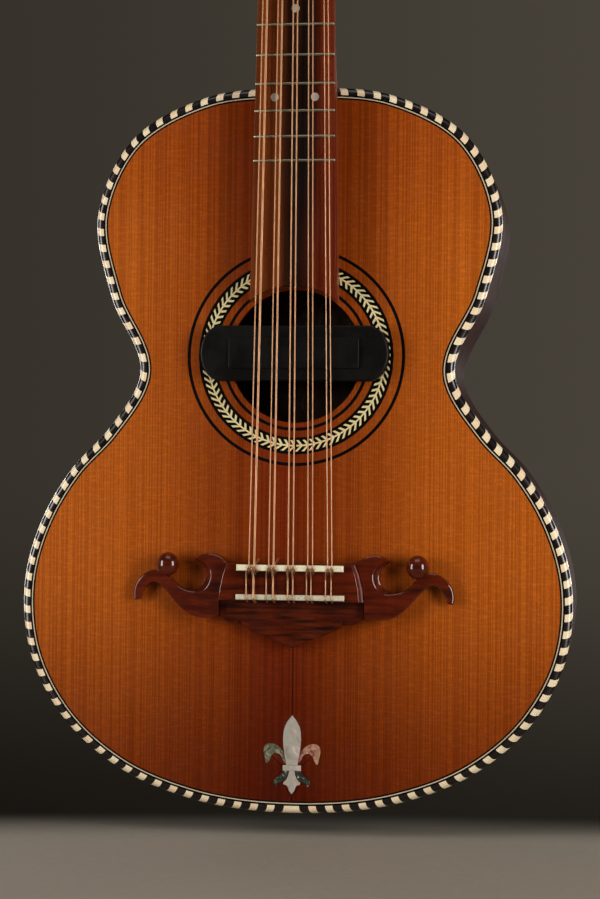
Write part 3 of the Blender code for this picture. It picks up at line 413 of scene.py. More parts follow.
# %% Finishes of rosewood, neck cedar and spruce
def board_finish():
    """The board is golden brown at the left, nearly black beside its middle and redder at the right."""
    made, tree, place, parts = start_finish("board_rosewood", Specular_IOR_Level=0.16)
    vector = put(tree, "ShaderNodeCombineXYZ", {0: parts["X"], 1: parts["Z"], 2: parts["Y"]}).outputs[0]
    figure = use_group(tree, grain, {"Vector": vector, "Across": 480.0, "Along": 6.0, "Shift": 1.3})
    sway = maths(tree, "MULTIPLY_ADD", figure["Bands"], 0.008, maths(tree, "SUBTRACT", parts["X"], 0.007))
    colour = blend(tree, between(tree, sway, -0.014, 0.000), paint(120, 56, 15), paint(30, 15, 10))
    colour = blend(tree, between(tree, sway, 0.003, 0.014), colour, paint(110, 38, 11))
    darker = blend(tree, 1.0, colour, (0.42, 0.36, 0.34, 1.0), "MULTIPLY")
    colour = blend(tree, maths(tree, "MULTIPLY", figure["Lines"], 0.65), colour, darker)
    colour = blend(tree, maths(tree, "MULTIPLY", figure["Pores"], 0.7), colour, paint(10, 5, 4))
    height = maths(tree, "SUBTRACT", figure["Lines"], figure["Pores"])
    end_finish(tree, place, colour, 0.34, 0.46, height, 0.15)
    return made


board_rosewood = board_finish()
block_rosewood = wood(
    "block_rosewood", (paint(14, 5, 3), paint(66, 17, 3), paint(104, 34, 7)), 360, 34, ("Z", "X", "Y"),
    shift=5.1, smooth=0.30, rough=0.42, Coat_Weight=0.05, Coat_Roughness=0.14, Specular_IOR_Level=0.18)
carved_rosewood = wood(
    "carved_rosewood", (paint(36, 8, 2), paint(78, 20, 4), paint(108, 34, 8)), 260, 22, ("Z", "X", "Y"),
    shift=8.4, smooth=0.30, rough=0.40, pore_strength=0.3, bump=0.03, Coat_Weight=0.9, Coat_Roughness=0.04,
    Specular_IOR_Level=0.06)
# The sides' rosewood is darker than the back's: partly the wood, partly painted shade for the shadow the
# sides lie in.
side_rosewood_shaded = wood(
    "side_rosewood_shaded", (paint(17, 8, 6), paint(46, 18, 12), paint(70, 30, 19)), 260, 5, ("Y", "Z", "X"),
    shift=2.2, smooth=0.42, rough=0.55, Specular_IOR_Level=0.06)
back_rosewood = wood(
    "back_rosewood", (paint(30, 10, 7), paint(74, 25, 14), paint(108, 42, 23)), 150, 3, ("X", "Z", "Y"),
    book=True, shift=6.6, smooth=0.20, rough=0.30, Coat_Weight=0.4, Coat_Roughness=0.10)
neck_cedar = wood(
    "neck_cedar", (paint(92, 38, 20), paint(128, 60, 34), paint(154, 82, 48)), 380, 8, ("X", "Z", "Y"),
    shift=4.4, smooth=0.28, rough=0.40, pore_strength=0.8, Coat_Weight=0.2, Coat_Roughness=0.18)
spruce = wood(
    "spruce", (paint(196, 158, 110), paint(214, 180, 132), paint(230, 202, 158)), 700, 5, ("Y", "X", "Z"),
    shift=7.7, smooth=0.60, rough=0.75, pore_strength=0.1)
print("finishes:", [finish.name for finish in (board_rosewood, carved_rosewood, side_rosewood_shaded, spruce)])

# %% [markdown]
# ## Bone, shell, plastic and metal
# The nut, saddle and tie bar are bone: cream, with faint darker marrow flecks. The knobs and the binding's
# light blocks are an ivory-like plastic with fine parallel lines. Pearl and abalone are shell: their colour
# bands are real growth layers, so a warped noise picks from a few hues. The pickup is matt moulded
# plastic. Nickel is finely scratched, and the strings carry the close turns of their bronze winding.

# %% Finishes of bone, shell, plastic and metal
def bone_finish(name, light, deep):
    made, tree, place, parts = start_finish(name, Subsurface_Weight=0.05, Coat_Weight=0.1)
    flecks = put(tree, "ShaderNodeTexNoise", {"Vector": place, "Scale": 900.0, "Detail": 3.0}).outputs[0]
    colour = blend(tree, between(tree, flecks, 0.50, 0.72), light, deep)
    end_finish(tree, place, colour, 0.30, 0.44, None, 0.05, 90.0)
    return made


def ivory_finish(name, light, deep, tint):
    """Cream plastic with fine lines, a shade apart from block to block."""
    made, tree, place, parts = start_finish(name, Coat_Weight=0.3, Coat_Roughness=0.12)
    vector = put(tree, "ShaderNodeCombineXYZ", {0: parts["X"], 1: parts["Y"], 2: parts["Z"]}).outputs[0]
    streaks = stretched_noise(tree, vector, 1500.0, 160.0, 2.0)
    shade = tree.nodes.new("ShaderNodeAttribute")
    shade.attribute_name = "shade"
    colour = blend(tree, between(tree, streaks, 0.35, 0.65), deep, light)
    colour = blend(tree, between(tree, shade.outputs["Fac"], 0.45, 1.0, 0.0, 0.7), colour, tint)
    end_finish(tree, place, colour, 0.26, 0.40, None, 0.05, 80.0)
    return made


def dark_finish(name, colour, sheen_colour, smooth, rough, **numbers):
    """Near-black with a faint coloured variation, for dyed wood and plastic."""
    made, tree, place, parts = start_finish(name, **numbers)
    mottle = put(tree, "ShaderNodeTexNoise", {"Vector": place, "Scale": 420.0, "Detail": 4.0}).outputs[0]
    end_finish(tree, place, blend(tree, between(tree, mottle, 0.4, 0.7), colour, sheen_colour), smooth, rough,
               mottle, 0.06, 70.0)
    return made


def shell_finish(name, hues, size, line_strength):
    """Shell whose hue follows warped growth layers. Hues are (place, colour) pairs."""
    made, tree, place, parts = start_finish(name, Coat_Weight=0.6, Coat_Roughness=0.06, Metallic=0.15)
    layers = put(tree, "ShaderNodeTexNoise", {
        "Vector": place, "Scale": size, "Detail": 3.0, "Distortion": 1.6}).outputs[0]
    ramp = put(tree, "ShaderNodeValToRGB", {0: between(tree, layers, 0.25, 0.75)})
    stops = ramp.color_ramp.elements
    while len(stops) < len(hues):
        stops.new(0.5)
    for stop, (position, colour) in zip(stops, hues):
        stop.position = position
        stop.color = colour
    engraved = put(tree, "ShaderNodeTexNoise", {
        "Vector": place, "Scale": size * 1.7, "Detail": 1.0, "Distortion": 2.5}).outputs[0]
    edge = maths(tree, "ABSOLUTE", maths(tree, "SUBTRACT", engraved, 0.5))
    line = maths(tree, "MULTIPLY", between(tree, edge, 0.004, 0.022, 1.0, 0.0), line_strength)
    colour = blend(tree, line, ramp.outputs[0], paint(34, 26, 24))
    end_finish(tree, place, colour, 0.14, 0.28, None, 0.04, 120.0)
    return made


def metal_finish(name, colour, worn_and_groove_shade, smooth, rough, windings=0.0):
    """Metal with fine scratches, or with the turns of a winding, their grooves painted darker as painted
    shade, where the number is not zero.
    """
    made, tree, place, parts = start_finish(name, Metallic=1.0)
    vector = put(tree, "ShaderNodeCombineXYZ", {0: parts["X"], 1: parts["Z"], 2: parts["Y"]}).outputs[0]
    scratches = stretched_noise(tree, vector, 3000.0, 220.0, 2.0)
    height = between(tree, scratches, 0.55, 0.75)
    shade = blend(tree, maths(tree, "MULTIPLY", height, 0.5), colour, worn_and_groove_shade)
    if windings:
        turns = maths(tree, "SINE", maths(tree, "MULTIPLY", parts["Z"], windings * 2 * pi))
        height = between(tree, turns, -1.0, 1.0)
        # Painted shade: the grooves between the turns are painted darker.
        shade = blend(tree, between(tree, turns, -0.9, -0.2, 0.3, 0.0), colour, worn_and_groove_shade)
    end_finish(tree, place, shade, smooth, rough, height, 0.02 if windings else 0.08, 160.0)
    return made


bone = bone_finish("bone", paint(236, 226, 196), paint(204, 184, 144))
worn_bone = bone_finish("worn_bone", paint(204, 196, 172), paint(168, 152, 122))
rope_cream = ivory_finish("rope_cream", paint(248, 235, 206), paint(230, 207, 165), paint(238, 206, 170))
rope_dark = dark_finish("rope_dark", paint(11, 5, 5), paint(24, 12, 13), 0.26, 0.38,
                        Coat_Weight=0.3, Coat_Roughness=0.10)
black_line = dark_finish("black_line", paint(3, 2, 2), paint(6, 4, 4), 0.50, 0.62, Specular_IOR_Level=0.08)
# The back binding's dark brown is painted shade: beyond the side it lies in shadow.
back_binding_shaded_brown = dark_finish("back_binding_shaded_brown", paint(26, 13, 8), paint(52, 28, 16), 0.22, 0.34, Specular_IOR_Level=0.3)
line_grey = ivory_finish("line_grey", paint(206, 196, 172), paint(184, 168, 140), paint(188, 168, 138))
line_cream = ivory_finish("line_cream", paint(236, 226, 176), paint(214, 198, 142), paint(222, 198, 144))
ivoroid = ivory_finish("ivoroid", paint(238, 226, 192), paint(216, 198, 152), paint(214, 190, 150))
pickup_plastic = dark_finish(
    "pickup_plastic", paint(5, 5, 4), paint(10, 9, 8), 0.42, 0.55, Specular_IOR_Level=0.17)
pearl = shell_finish("pearl", [
    (0.0, paint(150, 148, 136)), (0.35, paint(184, 174, 166)), (0.6, paint(170, 172, 158)),
    (0.8, paint(196, 176, 174)), (1.0, paint(210, 202, 192))], 70.0, 0.0)
abalone_green = shell_finish("abalone_green", [
    (0.0, paint(52, 58, 50)), (0.35, paint(98, 104, 84)), (0.7, paint(140, 134, 108)),
    (1.0, paint(168, 156, 132))], 170.0, 0.95)
abalone_rose = shell_finish("abalone_rose", [
    (0.0, paint(64, 52, 64)), (0.3, paint(158, 104, 92)), (0.6, paint(188, 134, 116)),
    (0.8, paint(176, 152, 96)), (1.0, paint(206, 204, 206))], 150.0, 0.6)
abalone_teal = shell_finish("abalone_teal", [
    (0.0, paint(16, 24, 22)), (0.45, paint(40, 58, 48)), (0.75, paint(74, 92, 76)),
    (1.0, paint(214, 218, 216))], 230.0, 0.8)
fret_metal = metal_finish("fret_metal", paint(158, 154, 130), paint(118, 112, 90), 0.36, 0.46)
nickel = metal_finish("nickel", paint(206, 200, 190), paint(150, 142, 128), 0.18, 0.34)
brass = metal_finish("brass", paint(214, 176, 106), paint(150, 112, 62), 0.24, 0.40)
bronze = metal_finish("bronze", paint(188, 144, 110), paint(118, 84, 60), 0.46, 0.58, 3200.0)
plain_wire = metal_finish("plain_wire", paint(192, 150, 118), paint(142, 106, 80), 0.40, 0.52)
print(len(bpy.data.materials), "materials so far")

# %% [markdown]
# ## Pieces whose shape is already right
# The flat plates, blocks, braces and linings and the nut need no new shape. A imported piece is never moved
# or reshaped; its finish changes by putting another material into its slot.

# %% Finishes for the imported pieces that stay
KEPT = {
    "soundboard": top_cedar, "back_plate": back_rosewood, "neck_block": spruce, "tail_block": spruce,
    "lining_top": spruce, "lining_back": spruce, "top_brace_upper": spruce, "top_brace_middle": spruce,
    "top_brace_lower": spruce, "back_brace_upper": spruce, "back_brace_lower": spruce,
    "bridge_plate": spruce, "nut": bone, "tuner_plate_left": nickel, "tuner_plate_right": nickel,
}
for name, finish in KEPT.items():
    for slot in nodes[name].material_slots:
        slot.material = finish
print(len(KEPT), "packed pieces keep their shape")

# %% [markdown]
# ## From a drawing to a piece
# The body's outline, like every outline here, is a list of points: how far from the middle line, and how
# far from the nut. A smooth curve through few points is how a luthier's template is drawn, so a helper
# turns the points into one. Others make a solid of it and hand it over: it rides on a body of the frame
# and stands for the imported piece that it improves, which is hidden.

# %% Helpers for outlines and pieces
NUT_HEIGHT = -0.012
SCALE_LENGTH = 0.610


def along(distance):
    """Height of a place that is this far from the nut towards the tail."""
    return NUT_HEIGHT - distance


def mirrored(half):
    """A closed outline from its right half."""
    return half + [(-x, d) for x, d in reversed(half) if x > 0]


def drawn(edge):
    """An outline of (half width, distance from the nut) as (x, z) points."""
    return [Vector((x, along(d))) for x, d in edge]


def flipped(outline):
    """The outline on the other side of the middle line, run the other way."""
    return [Vector((-point.x, point.y)) for point in reversed(outline)]


def smooth_loop(points, steps, closed=True):
    """A smooth curve through the points, with this many steps between each two."""
    count = len(points)
    reach = [(points[(i + 1) % count] - points[i]).length for i in range(count)]
    slopes = []
    for i in range(count):
        arriving = (points[i] - points[i - 1]) / reach[i - 1]
        leaving = (points[(i + 1) % count] - points[i]) / reach[i]
        slopes.append((arriving * reach[i] + leaving * reach[i - 1]) / (reach[i - 1] + reach[i]))
    if not closed:
        slopes[0] = (points[1] - points[0]) / reach[0]
        slopes[-1] = (points[-1] - points[-2]) / reach[-2]
    made = []
    for i in range(count if closed else count - 1):
        j, span = (i + 1) % count, reach[i]
        for step in range(steps):
            t = step / steps
            made.append(
                points[i] * (2 * t**3 - 3 * t**2 + 1) + slopes[i] * span * (t**3 - 2 * t**2 + t)
                + points[j] * (3 * t**2 - 2 * t**3) + slopes[j] * span * (t**3 - t**2)
            )
    return made if closed else made + [points[-1].copy()]


def add_walls(shape, rings):
    """Joins each ring of corners to the next, and returns the faces between them."""
    made = []
    for near, far_ring in zip(rings, rings[1:]):
        for i in range(len(near)):
            j = (i + 1) % len(near)
            made.append(shape.faces.new((near[i], far_ring[i], far_ring[j], near[j])))
    return made


def add_object(name, shape, *finishes, smooth_below=radians(40)):
    """An object from a bmesh, with its faces turned outwards and shaded smooth across blunt edges."""
    bmesh.ops.recalc_face_normals(shape, faces=shape.faces[:])
    mesh = bpy.data.meshes.new(name)
    shape.to_mesh(mesh)
    shape.free()
    for finish in finishes:
        mesh.materials.append(finish)
    mesh.shade_smooth()
    mesh.set_sharp_from_angle(angle=smooth_below)
    return new_object(name, mesh)


def settle(made, slot, *stands_for, body="instrument"):
    """Hands a finished piece over to the frame."""
    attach(made, body)
    if stands_for:
        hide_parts(*stands_for)
    return made


def evaluated(made):
    """Replaces the object's mesh with what its modifiers make of it."""
    graph = bpy.context.evaluated_depsgraph_get()
    mesh = bpy.data.meshes.new_from_object(
        made.evaluated_get(graph), preserve_all_data_layers=True, depsgraph=graph)
    made.modifiers.clear()
    made.data = mesh
    return made


BODY_EDGE = [
    (0.0, 0.2870), (0.0640, 0.2925), (0.1145, 0.3210), (0.1377, 0.3725), (0.1277, 0.4275),
    (0.1071, 0.4805), (0.1287, 0.5175), (0.1533, 0.5440), (0.1719, 0.5740), (0.1860, 0.6220),
    (0.1809, 0.6730), (0.1573, 0.7155), (0.1186, 0.7480), (0.0708, 0.7670), (0.0, 0.7751),
]
EDGE_STEPS = 40
body_outline = smooth_loop(drawn(mirrored(BODY_EDGE)), EDGE_STEPS)
half_count = (len(BODY_EDGE) - 1) * EDGE_STEPS
# The right half from the tail up to the neck, and the left half the same way.
right_half = list(reversed(body_outline[:half_count + 1]))
left_half = [Vector((-point.x, point.y)) for point in right_half]


def length_of(points, closed=False):
    following = points[1:] + points[:1] if closed else points[1:]
    return sum((b - a).length for a, b in zip(points, following))


HALF_LENGTH = length_of(right_half)
print("half of the body's edge:", round(HALF_LENGTH * 1000, 1), "mm")

# %% [markdown]
# ## One tree for everything that follows an edge
# Binding blocks, purfling lines, the sides and the rosette are the same job: a small tile, repeated along
# a curve. The tile is drawn straight: its length along X, its distance in from the edge along Y and its
# depth along Z. The tree lines the tiles up, then moves every point to where its place along the edge,
# its inset and its depth put it. Strips with open ends are welded into one. A face attribute on the tile
# picks the dark material, and each tile carries a random shade that the finishes can read.

# %% The tree that repeats a tile along an edge
def link_output(tree, socket):
    tree.interface.new_socket("Geometry", in_out="OUTPUT", socket_type="NodeSocketGeometry")
    tree.links.new(socket, tree.nodes.new("NodeGroupOutput").inputs[0])


def new_tree(name, inputs):
    """A Geometry Nodes tree with these named inputs."""
    tree = bpy.data.node_groups.new(name, "GeometryNodeTree")
    tree.interface.new_socket("Geometry", in_out="INPUT", socket_type="NodeSocketGeometry")
    for label, kind in inputs:
        tree.interface.new_socket(label, in_out="INPUT", socket_type="NodeSocket" + kind)
    return tree, tree.nodes.new("NodeGroupInput").outputs


def keep_value(tree, geometry, name, value):
    """Stores a number on every point."""
    inputs = {"Geometry": geometry, "Name": name, "Value": value}
    return put(tree, "GeometryNodeStoreNamedAttribute", inputs, data_type="FLOAT", domain="POINT").outputs[0]


def kept_value(tree, name):
    node = put(tree, "GeometryNodeInputNamedAttribute", {"Name": name}, data_type="FLOAT")
    return live(node.outputs, "Attribute")


def finish_tree(tree, geometry, light, dark=None):
    """Ends a tree: plain geometry, with its material and a second one on the faces marked dark."""
    plain = put(tree, "GeometryNodeRealizeInstances", {"Geometry": geometry}).outputs[0]
    made = put(tree, "GeometryNodeSetMaterial", {"Geometry": plain, "Material": light}).outputs[0]
    if dark is not None:
        chosen_faces = put(tree, "FunctionNodeCompare", {"A": kept_value(tree, "dark"), "B": 0.5},
                           data_type="FLOAT", operation="GREATER_THAN").outputs[0]
        inputs = {"Geometry": made, "Selection": chosen_faces, "Material": dark}
        made = put(tree, "GeometryNodeSetMaterial", inputs).outputs[0]
    link_output(tree, made)


def edge_tree():
    tree, given = new_tree("repeat along an edge", [
        ("Edge", "Object"), ("Tile", "Object"), ("Count", "Int"), ("Pitch", "Float"), ("Start", "Float"),
        ("Side", "Float"), ("Seed", "Int"), ("Light", "Material"), ("Dark", "Material")])
    edge = put(tree, "GeometryNodeObjectInfo", {"Object": given["Edge"]})
    tile = put(tree, "GeometryNodeObjectInfo", {"Object": given["Tile"]})
    row = put(tree, "GeometryNodeMeshLine", {"Count": given["Count"], "Offset": (0, 0, 0)}).outputs[0]
    index = tree.nodes.new("GeometryNodeInputIndex").outputs[0]
    row = keep_value(tree, row, "place", maths(tree, "MULTIPLY_ADD", index, given["Pitch"], given["Start"]))
    chance = put(tree, "FunctionNodeRandomValue", {"Seed": given["Seed"]}, data_type="FLOAT")
    row = keep_value(tree, row, "shade", live(chance.outputs, "Value"))
    inputs = {"Points": row, "Instance": live(tile.outputs, "Geometry")}
    tiles = put(tree, "GeometryNodeInstanceOnPoints", inputs)
    loose = put(tree, "GeometryNodeRealizeInstances", {"Geometry": tiles.outputs[0]}).outputs[0]
    place = put(tree, "ShaderNodeSeparateXYZ", {0: tree.nodes.new("GeometryNodeInputPosition").outputs[0]})
    run = maths(tree, "ADD", kept_value(tree, "place"), place.outputs["X"])
    sample = put(tree, "GeometryNodeSampleCurve", {"Curves": live(edge.outputs, "Geometry"), "Length": run},
                 mode="LENGTH", use_all_curves=True)
    inwards = put(tree, "ShaderNodeVectorMath", {0: (0, 0, 1), 1: sample.outputs["Tangent"]},
                  operation="CROSS_PRODUCT").outputs[0]
    inset = maths(tree, "MULTIPLY", place.outputs["Y"], given["Side"])
    step = put(tree, "ShaderNodeVectorMath", {0: inwards, "Scale": inset}, operation="SCALE").outputs[0]
    flat = put(tree, "ShaderNodeVectorMath", {0: sample.outputs["Position"], 1: step}, operation="ADD")
    flat = put(tree, "ShaderNodeSeparateXYZ", {0: flat.outputs[0]}).outputs
    upright = put(tree, "ShaderNodeCombineXYZ", {0: flat["X"], 1: place.outputs["Z"], 2: flat["Y"]})
    laid = put(tree, "GeometryNodeSetPosition", {"Geometry": loose, "Position": upright.outputs[0]})
    inputs = {"Geometry": laid.outputs[0], "Distance": 0.00001}
    welded = put(tree, "GeometryNodeMergeByDistance", inputs).outputs[0]
    finish_tree(tree, welded, given["Light"], given["Dark"])
    return tree


def run_tree(host, tree, values):
    """Runs a tree on an object with these inputs and keeps the plain mesh that it makes."""
    modifier = host.modifiers.new("grow", "NODES")
    modifier.node_group = tree
    for item in tree.interface.items_tree:
        if item.in_out == "INPUT" and item.name in values:
            modifier[item.identifier] = values[item.name]
    return evaluated(host)


def grow(name, tree, values):
    """What a tree makes from these inputs alone."""
    return run_tree(new_object(name, bpy.data.meshes.new(name)), tree, values)


def edge_path(name, points, closed=False):
    """A path of (x, z) points, drawn on a curve's own flat plane."""
    curve = bpy.data.curves.new(name, "CURVE")
    curve.dimensions = "3D"
    spline = curve.splines.new("POLY")
    spline.points.add(len(points) - 1)
    for corner, point in zip(spline.points, points):
        corner.co = (point[0], point[1], 0, 1)
    spline.use_cyclic_u = closed
    return new_object(name, curve)


def strip_tile(section, length):
    """One open-ended step of a strip whose section is a closed list of (inset, depth)."""
    shape = bmesh.new()
    rings = [[shape.verts.new((x, inset, depth)) for inset, depth in section] for x in (0, length)]
    for i in range(len(section)):
        j = (i + 1) % len(section)
        shape.faces.new((rings[0][i], rings[0][j], rings[1][j], rings[1][i]))
    return add_object("strip_tile", shape)


def remove(*helpers):
    for helper in helpers:
        bpy.data.objects.remove(helper)


def turn_outwards(made, smooth_below=radians(40)):
    """Recalculates a grown mesh's normals and shades it smooth across blunt edges."""
    shape = bmesh.new()
    shape.from_mesh(made.data)
    bmesh.ops.recalc_face_normals(shape, faces=shape.faces[:])
    shape.to_mesh(made.data)
    shape.free()
    made.data.shade_smooth()
    made.data.set_sharp_from_angle(angle=smooth_below)
    return made


along_edge = edge_tree()


def strip(name, path, total, section, finish, step=0.002, smooth_below=radians(40)):
    """A closed strip along a closed path."""
    count = round(total / step)
    tile = strip_tile(section, total / count)
    made = grow(name, along_edge, {
        "Edge": path, "Tile": tile, "Count": count, "Pitch": total / count, "Start": 0.0, "Side": 1.0,
        "Seed": 1, "Light": finish, "Dark": finish})
    remove(tile)
    return turn_outwards(made, smooth_below)


whole_edge = edge_path("whole_edge", right_half + list(reversed(left_half))[1:-1], closed=True)
print("the tree has", len(along_edge.nodes), "nodes")

# %% [markdown]
# ## The rope binding
# The top's edge is bound with slanted blocks of cream and near-black, each about five millimetres long.
# The outer edge is a broad quarter round, and the blocks lean more and more steeply over it, which gives
# the twist of a rope. Both halves of the body mirror each other and meet at the tail, where a dark wedge
# opens between two cream blocks. Each block is its own closed tile with a hair of a joint, so the pattern
# is in the shape. The wedge's tile lies before the path's first point, at the tail, and only its leaning
# corner reaches past it. The rest is clamped to that point, which cuts the wedge by itself.

# %% Binding blocks round the top
ROPE_PITCHES = 64
ROPE_PITCH = HALF_LENGTH / ROPE_PITCHES
ROPE_CREAM = 0.45
BINDING_WIDTH, BINDING_DEPTH, BINDING_CORNER = 0.00515, 0.0050, 0.0040
JOINT = 0.00003
LEAN = 62.0


def rope_section():
    """(inset, depth, lean) round a block's section, from the inner edge over the corner to the side."""
    points = [(BINDING_WIDTH - run, 0.0, run) for run in (0.0, 0.0006, BINDING_WIDTH - BINDING_CORNER)]
    corner_run = BINDING_WIDTH - BINDING_CORNER
    for i in range(1, 9):
        a = pi / 2 * i / 8
        points.append((BINDING_CORNER * (1 - sin(a)), BINDING_CORNER * (1 - cos(a)),
                       corner_run + BINDING_CORNER * a))
    side_run = corner_run + BINDING_CORNER * pi / 2
    for share in (0.5, 1.0):
        depth = BINDING_CORNER + (BINDING_DEPTH - BINDING_CORNER) * share
        points.append((0.0, depth, side_run + depth - BINDING_CORNER))
    points.append((BINDING_WIDTH, BINDING_DEPTH, 0.0))
    return [(inset, depth, LEAN * run * run) for inset, depth, run in points]


def add_block(shape, start, end, dark):
    """One closed block between two places along the edge."""
    mark = shape.faces.layers.float.get("dark") or shape.faces.layers.float.new("dark")
    rings = []
    for share in (0.0, 0.5, 1.0):
        x = start + (end - start) * share
        rings.append([shape.verts.new((x + lean, inset, depth)) for inset, depth, lean in rope_section()])
    faces = [shape.faces.new(rings[0]), shape.faces.new(list(reversed(rings[-1])))]
    for face in faces + add_walls(shape, rings):
        face[mark] = dark


shape = bmesh.new()
add_block(shape, JOINT, ROPE_CREAM * ROPE_PITCH - JOINT, 0.0)
add_block(shape, ROPE_CREAM * ROPE_PITCH, ROPE_PITCH, 1.0)
rope_tile = add_object("rope_tile", shape)
shape = bmesh.new()
add_block(shape, -0.0100, 0.0, 1.0)
wedge_tile = add_object("wedge_tile", shape)
rope_parts = []
for side, points in ((1.0, right_half), (-1.0, left_half)):
    path = edge_path("half_edge", points)
    for tile, count in ((rope_tile, ROPE_PITCHES), (wedge_tile, 1)):
        rope_parts.append(grow("rope_part", along_edge, {
            "Edge": path, "Tile": tile, "Count": count, "Pitch": ROPE_PITCH, "Start": 0.0, "Side": side,
            "Seed": 5 if side > 0 else 9, "Light": rope_cream, "Dark": rope_dark}))
    remove(path)


def joined(name, parts, smooth_below=radians(40)):
    """One object from several with the same materials, without the slivers that clamping leaves."""
    shape = bmesh.new()
    for part in parts:
        shape.from_mesh(part.data)
    made = new_object(name, parts[0].data)
    remove(*parts)
    bmesh.ops.dissolve_degenerate(shape, edges=shape.edges[:], dist=0.000001)
    shape.to_mesh(made.data)
    shape.free()
    return turn_outwards(made, smooth_below)


rope = joined("rope_binding", rope_parts)
remove(rope_tile, wedge_tile)
settle(rope, "rope_binding", "binding_top")
print(ROPE_PITCHES, "pairs of blocks a side, each pair", round(ROPE_PITCH * 1000, 2), "mm")

# %% [markdown]
# ## Purfling, sides and back binding
# Just inside the rope run three thin lines: black, greyish cream, black. They are let into the top and
# stand a hair proud, which also hides the joint beneath them. The sides are one bent strip of rosewood
# between the two bindings, darker than the back's rosewood, partly as painted shade for the shadow they lie
# in.
# The back's binding is painted dark brown plastic, painted shade: beyond the side it lies in shadow, and
# nothing pale shows there. Its outer edge is rounded. Each is one welded strip of the same tree, with the
# section that its cell gives.

# %% Purfling lines, ribs and the back binding
PURFLING = [
    ("purfling_outer", 0.00515, 0.00637, black_line), ("purfling_light", 0.00637, 0.00707, line_grey),
    ("purfling_inner", 0.00707, 0.00820, black_line),
]
EDGE_LENGTH = 2 * HALF_LENGTH
for name, near, far_side, finish in PURFLING:
    section = [(near, -0.00002), (far_side, -0.00002), (far_side, 0.0010), (near, 0.0010)]
    settle(strip(name, whole_edge, EDGE_LENGTH, section, finish), "rope_binding")

RIB_FRONT, RIB_BACK, RIB_THICKNESS = 0.0050, 0.0850, 0.0024
rib_section = [(0.0, RIB_FRONT), (RIB_THICKNESS, RIB_FRONT), (RIB_THICKNESS, RIB_BACK), (0.0, RIB_BACK)]
# The ribs carry painted shade in their darker rosewood.
ribs = strip("ribs", whole_edge, EDGE_LENGTH, rib_section, side_rosewood_shaded, 0.004)
settle(ribs, "rosewood", "rib_left", "rib_right")

BACK_FACE, BACK_BINDING_WIDTH, BACK_CORNER = 0.0900, 0.0031, 0.0016
back_section = [(0.0, RIB_BACK), (BACK_BINDING_WIDTH, RIB_BACK), (BACK_BINDING_WIDTH, BACK_FACE)]
for i in range(5):
    a = pi / 2 * i / 4
    back_section.append((BACK_CORNER * (1 - sin(a)), BACK_FACE - BACK_CORNER * (1 - cos(a))))
back_section = list(reversed(back_section))
# The back binding, painted dark brown as painted shade.
settle(strip("back_binding", whole_edge, EDGE_LENGTH, back_section, back_binding_shaded_brown), "back_binding", "binding_back")
print("edge strips run", round(EDGE_LENGTH * 1000), "mm round the body")

# %% [markdown]
# ## The rosette
# Round the soundhole lie three rings: a thin black line, a broad herringbone, and a second black line.
# The herringbone is a black ring with cream barbs that leave a cream spine and lean back clockwise, like a
# feather. The barbs repeat 84 times, so one barbed step of the spine is a tile of the same tree, with the
# soundhole's circle as its edge.

# %% Rings and herringbone round the soundhole
HOLE_CENTRE = Vector((0.0, along(0.4681)))
CIRCLE_STEPS = 240


def circle_points(radius):
    angles = [2 * pi * i / CIRCLE_STEPS for i in range(CIRCLE_STEPS)]
    return [HOLE_CENTRE + Vector((sin(a), -cos(a))) * radius for a in angles]


def ring(name, inner, outer, front, back, finish, *stands_for):
    """A flat ring about the soundhole between two radii and two depths."""
    points = circle_points(outer)
    path = edge_path("circle", points, closed=True)
    section = [(0.0, front), (outer - inner, front), (outer - inner, back), (0.0, back)]
    made = strip(name, path, length_of(points, True), section, finish, 0.003)
    remove(path)
    return settle(made, "herringbone", *stands_for)


ring("ring_inner", 0.0481, 0.0502, -0.00002, 0.0008, black_line)
ring("ring_outer", 0.07175, 0.0739, -0.00002, 0.0008, black_line)
ring("rosette_ground", 0.0549, 0.0659, -0.00002, 0.0012, black_line, "rosette")

BARBS = 84
SPINE_RADIUS, SPINE_HALF = 0.06015, 0.00055
BARB_INNER_END, BARB_OUTER_END = 0.00365, 0.0039
INNER_LEAN, OUTER_LEAN, BARB_WIDTH, BARB_PLACE = 0.0023, 0.0035, 0.0018, 0.0023


def barb_tile(pitch):
    """A step of the spine with one barb on each side, as a thin plate with open ends."""
    start, end = BARB_PLACE, BARB_PLACE + BARB_WIDTH
    outline = [
        (0.0, SPINE_HALF), (start, SPINE_HALF), (start - INNER_LEAN, BARB_INNER_END),
        (end - INNER_LEAN, BARB_INNER_END), (min(end, pitch * 0.97), SPINE_HALF), (pitch, SPINE_HALF),
        (pitch, -SPINE_HALF), (min(end, pitch * 0.97), -SPINE_HALF), (end - OUTER_LEAN, -BARB_OUTER_END),
        (start - OUTER_LEAN, -BARB_OUTER_END), (start, -SPINE_HALF), (0.0, -SPINE_HALF),
    ]
    shape = bmesh.new()
    rings = [[shape.verts.new((x, inset, depth)) for x, inset in outline] for depth in (-0.00005, 0.0004)]
    shape.faces.new(rings[0])
    shape.faces.new(list(reversed(rings[1])))
    for i in range(len(outline) - 1):
        if outline[i][0] == outline[i + 1][0] == pitch:
            continue
        shape.faces.new((rings[0][i], rings[0][i + 1], rings[1][i + 1], rings[1][i]))
    return add_object("barb_tile", shape)


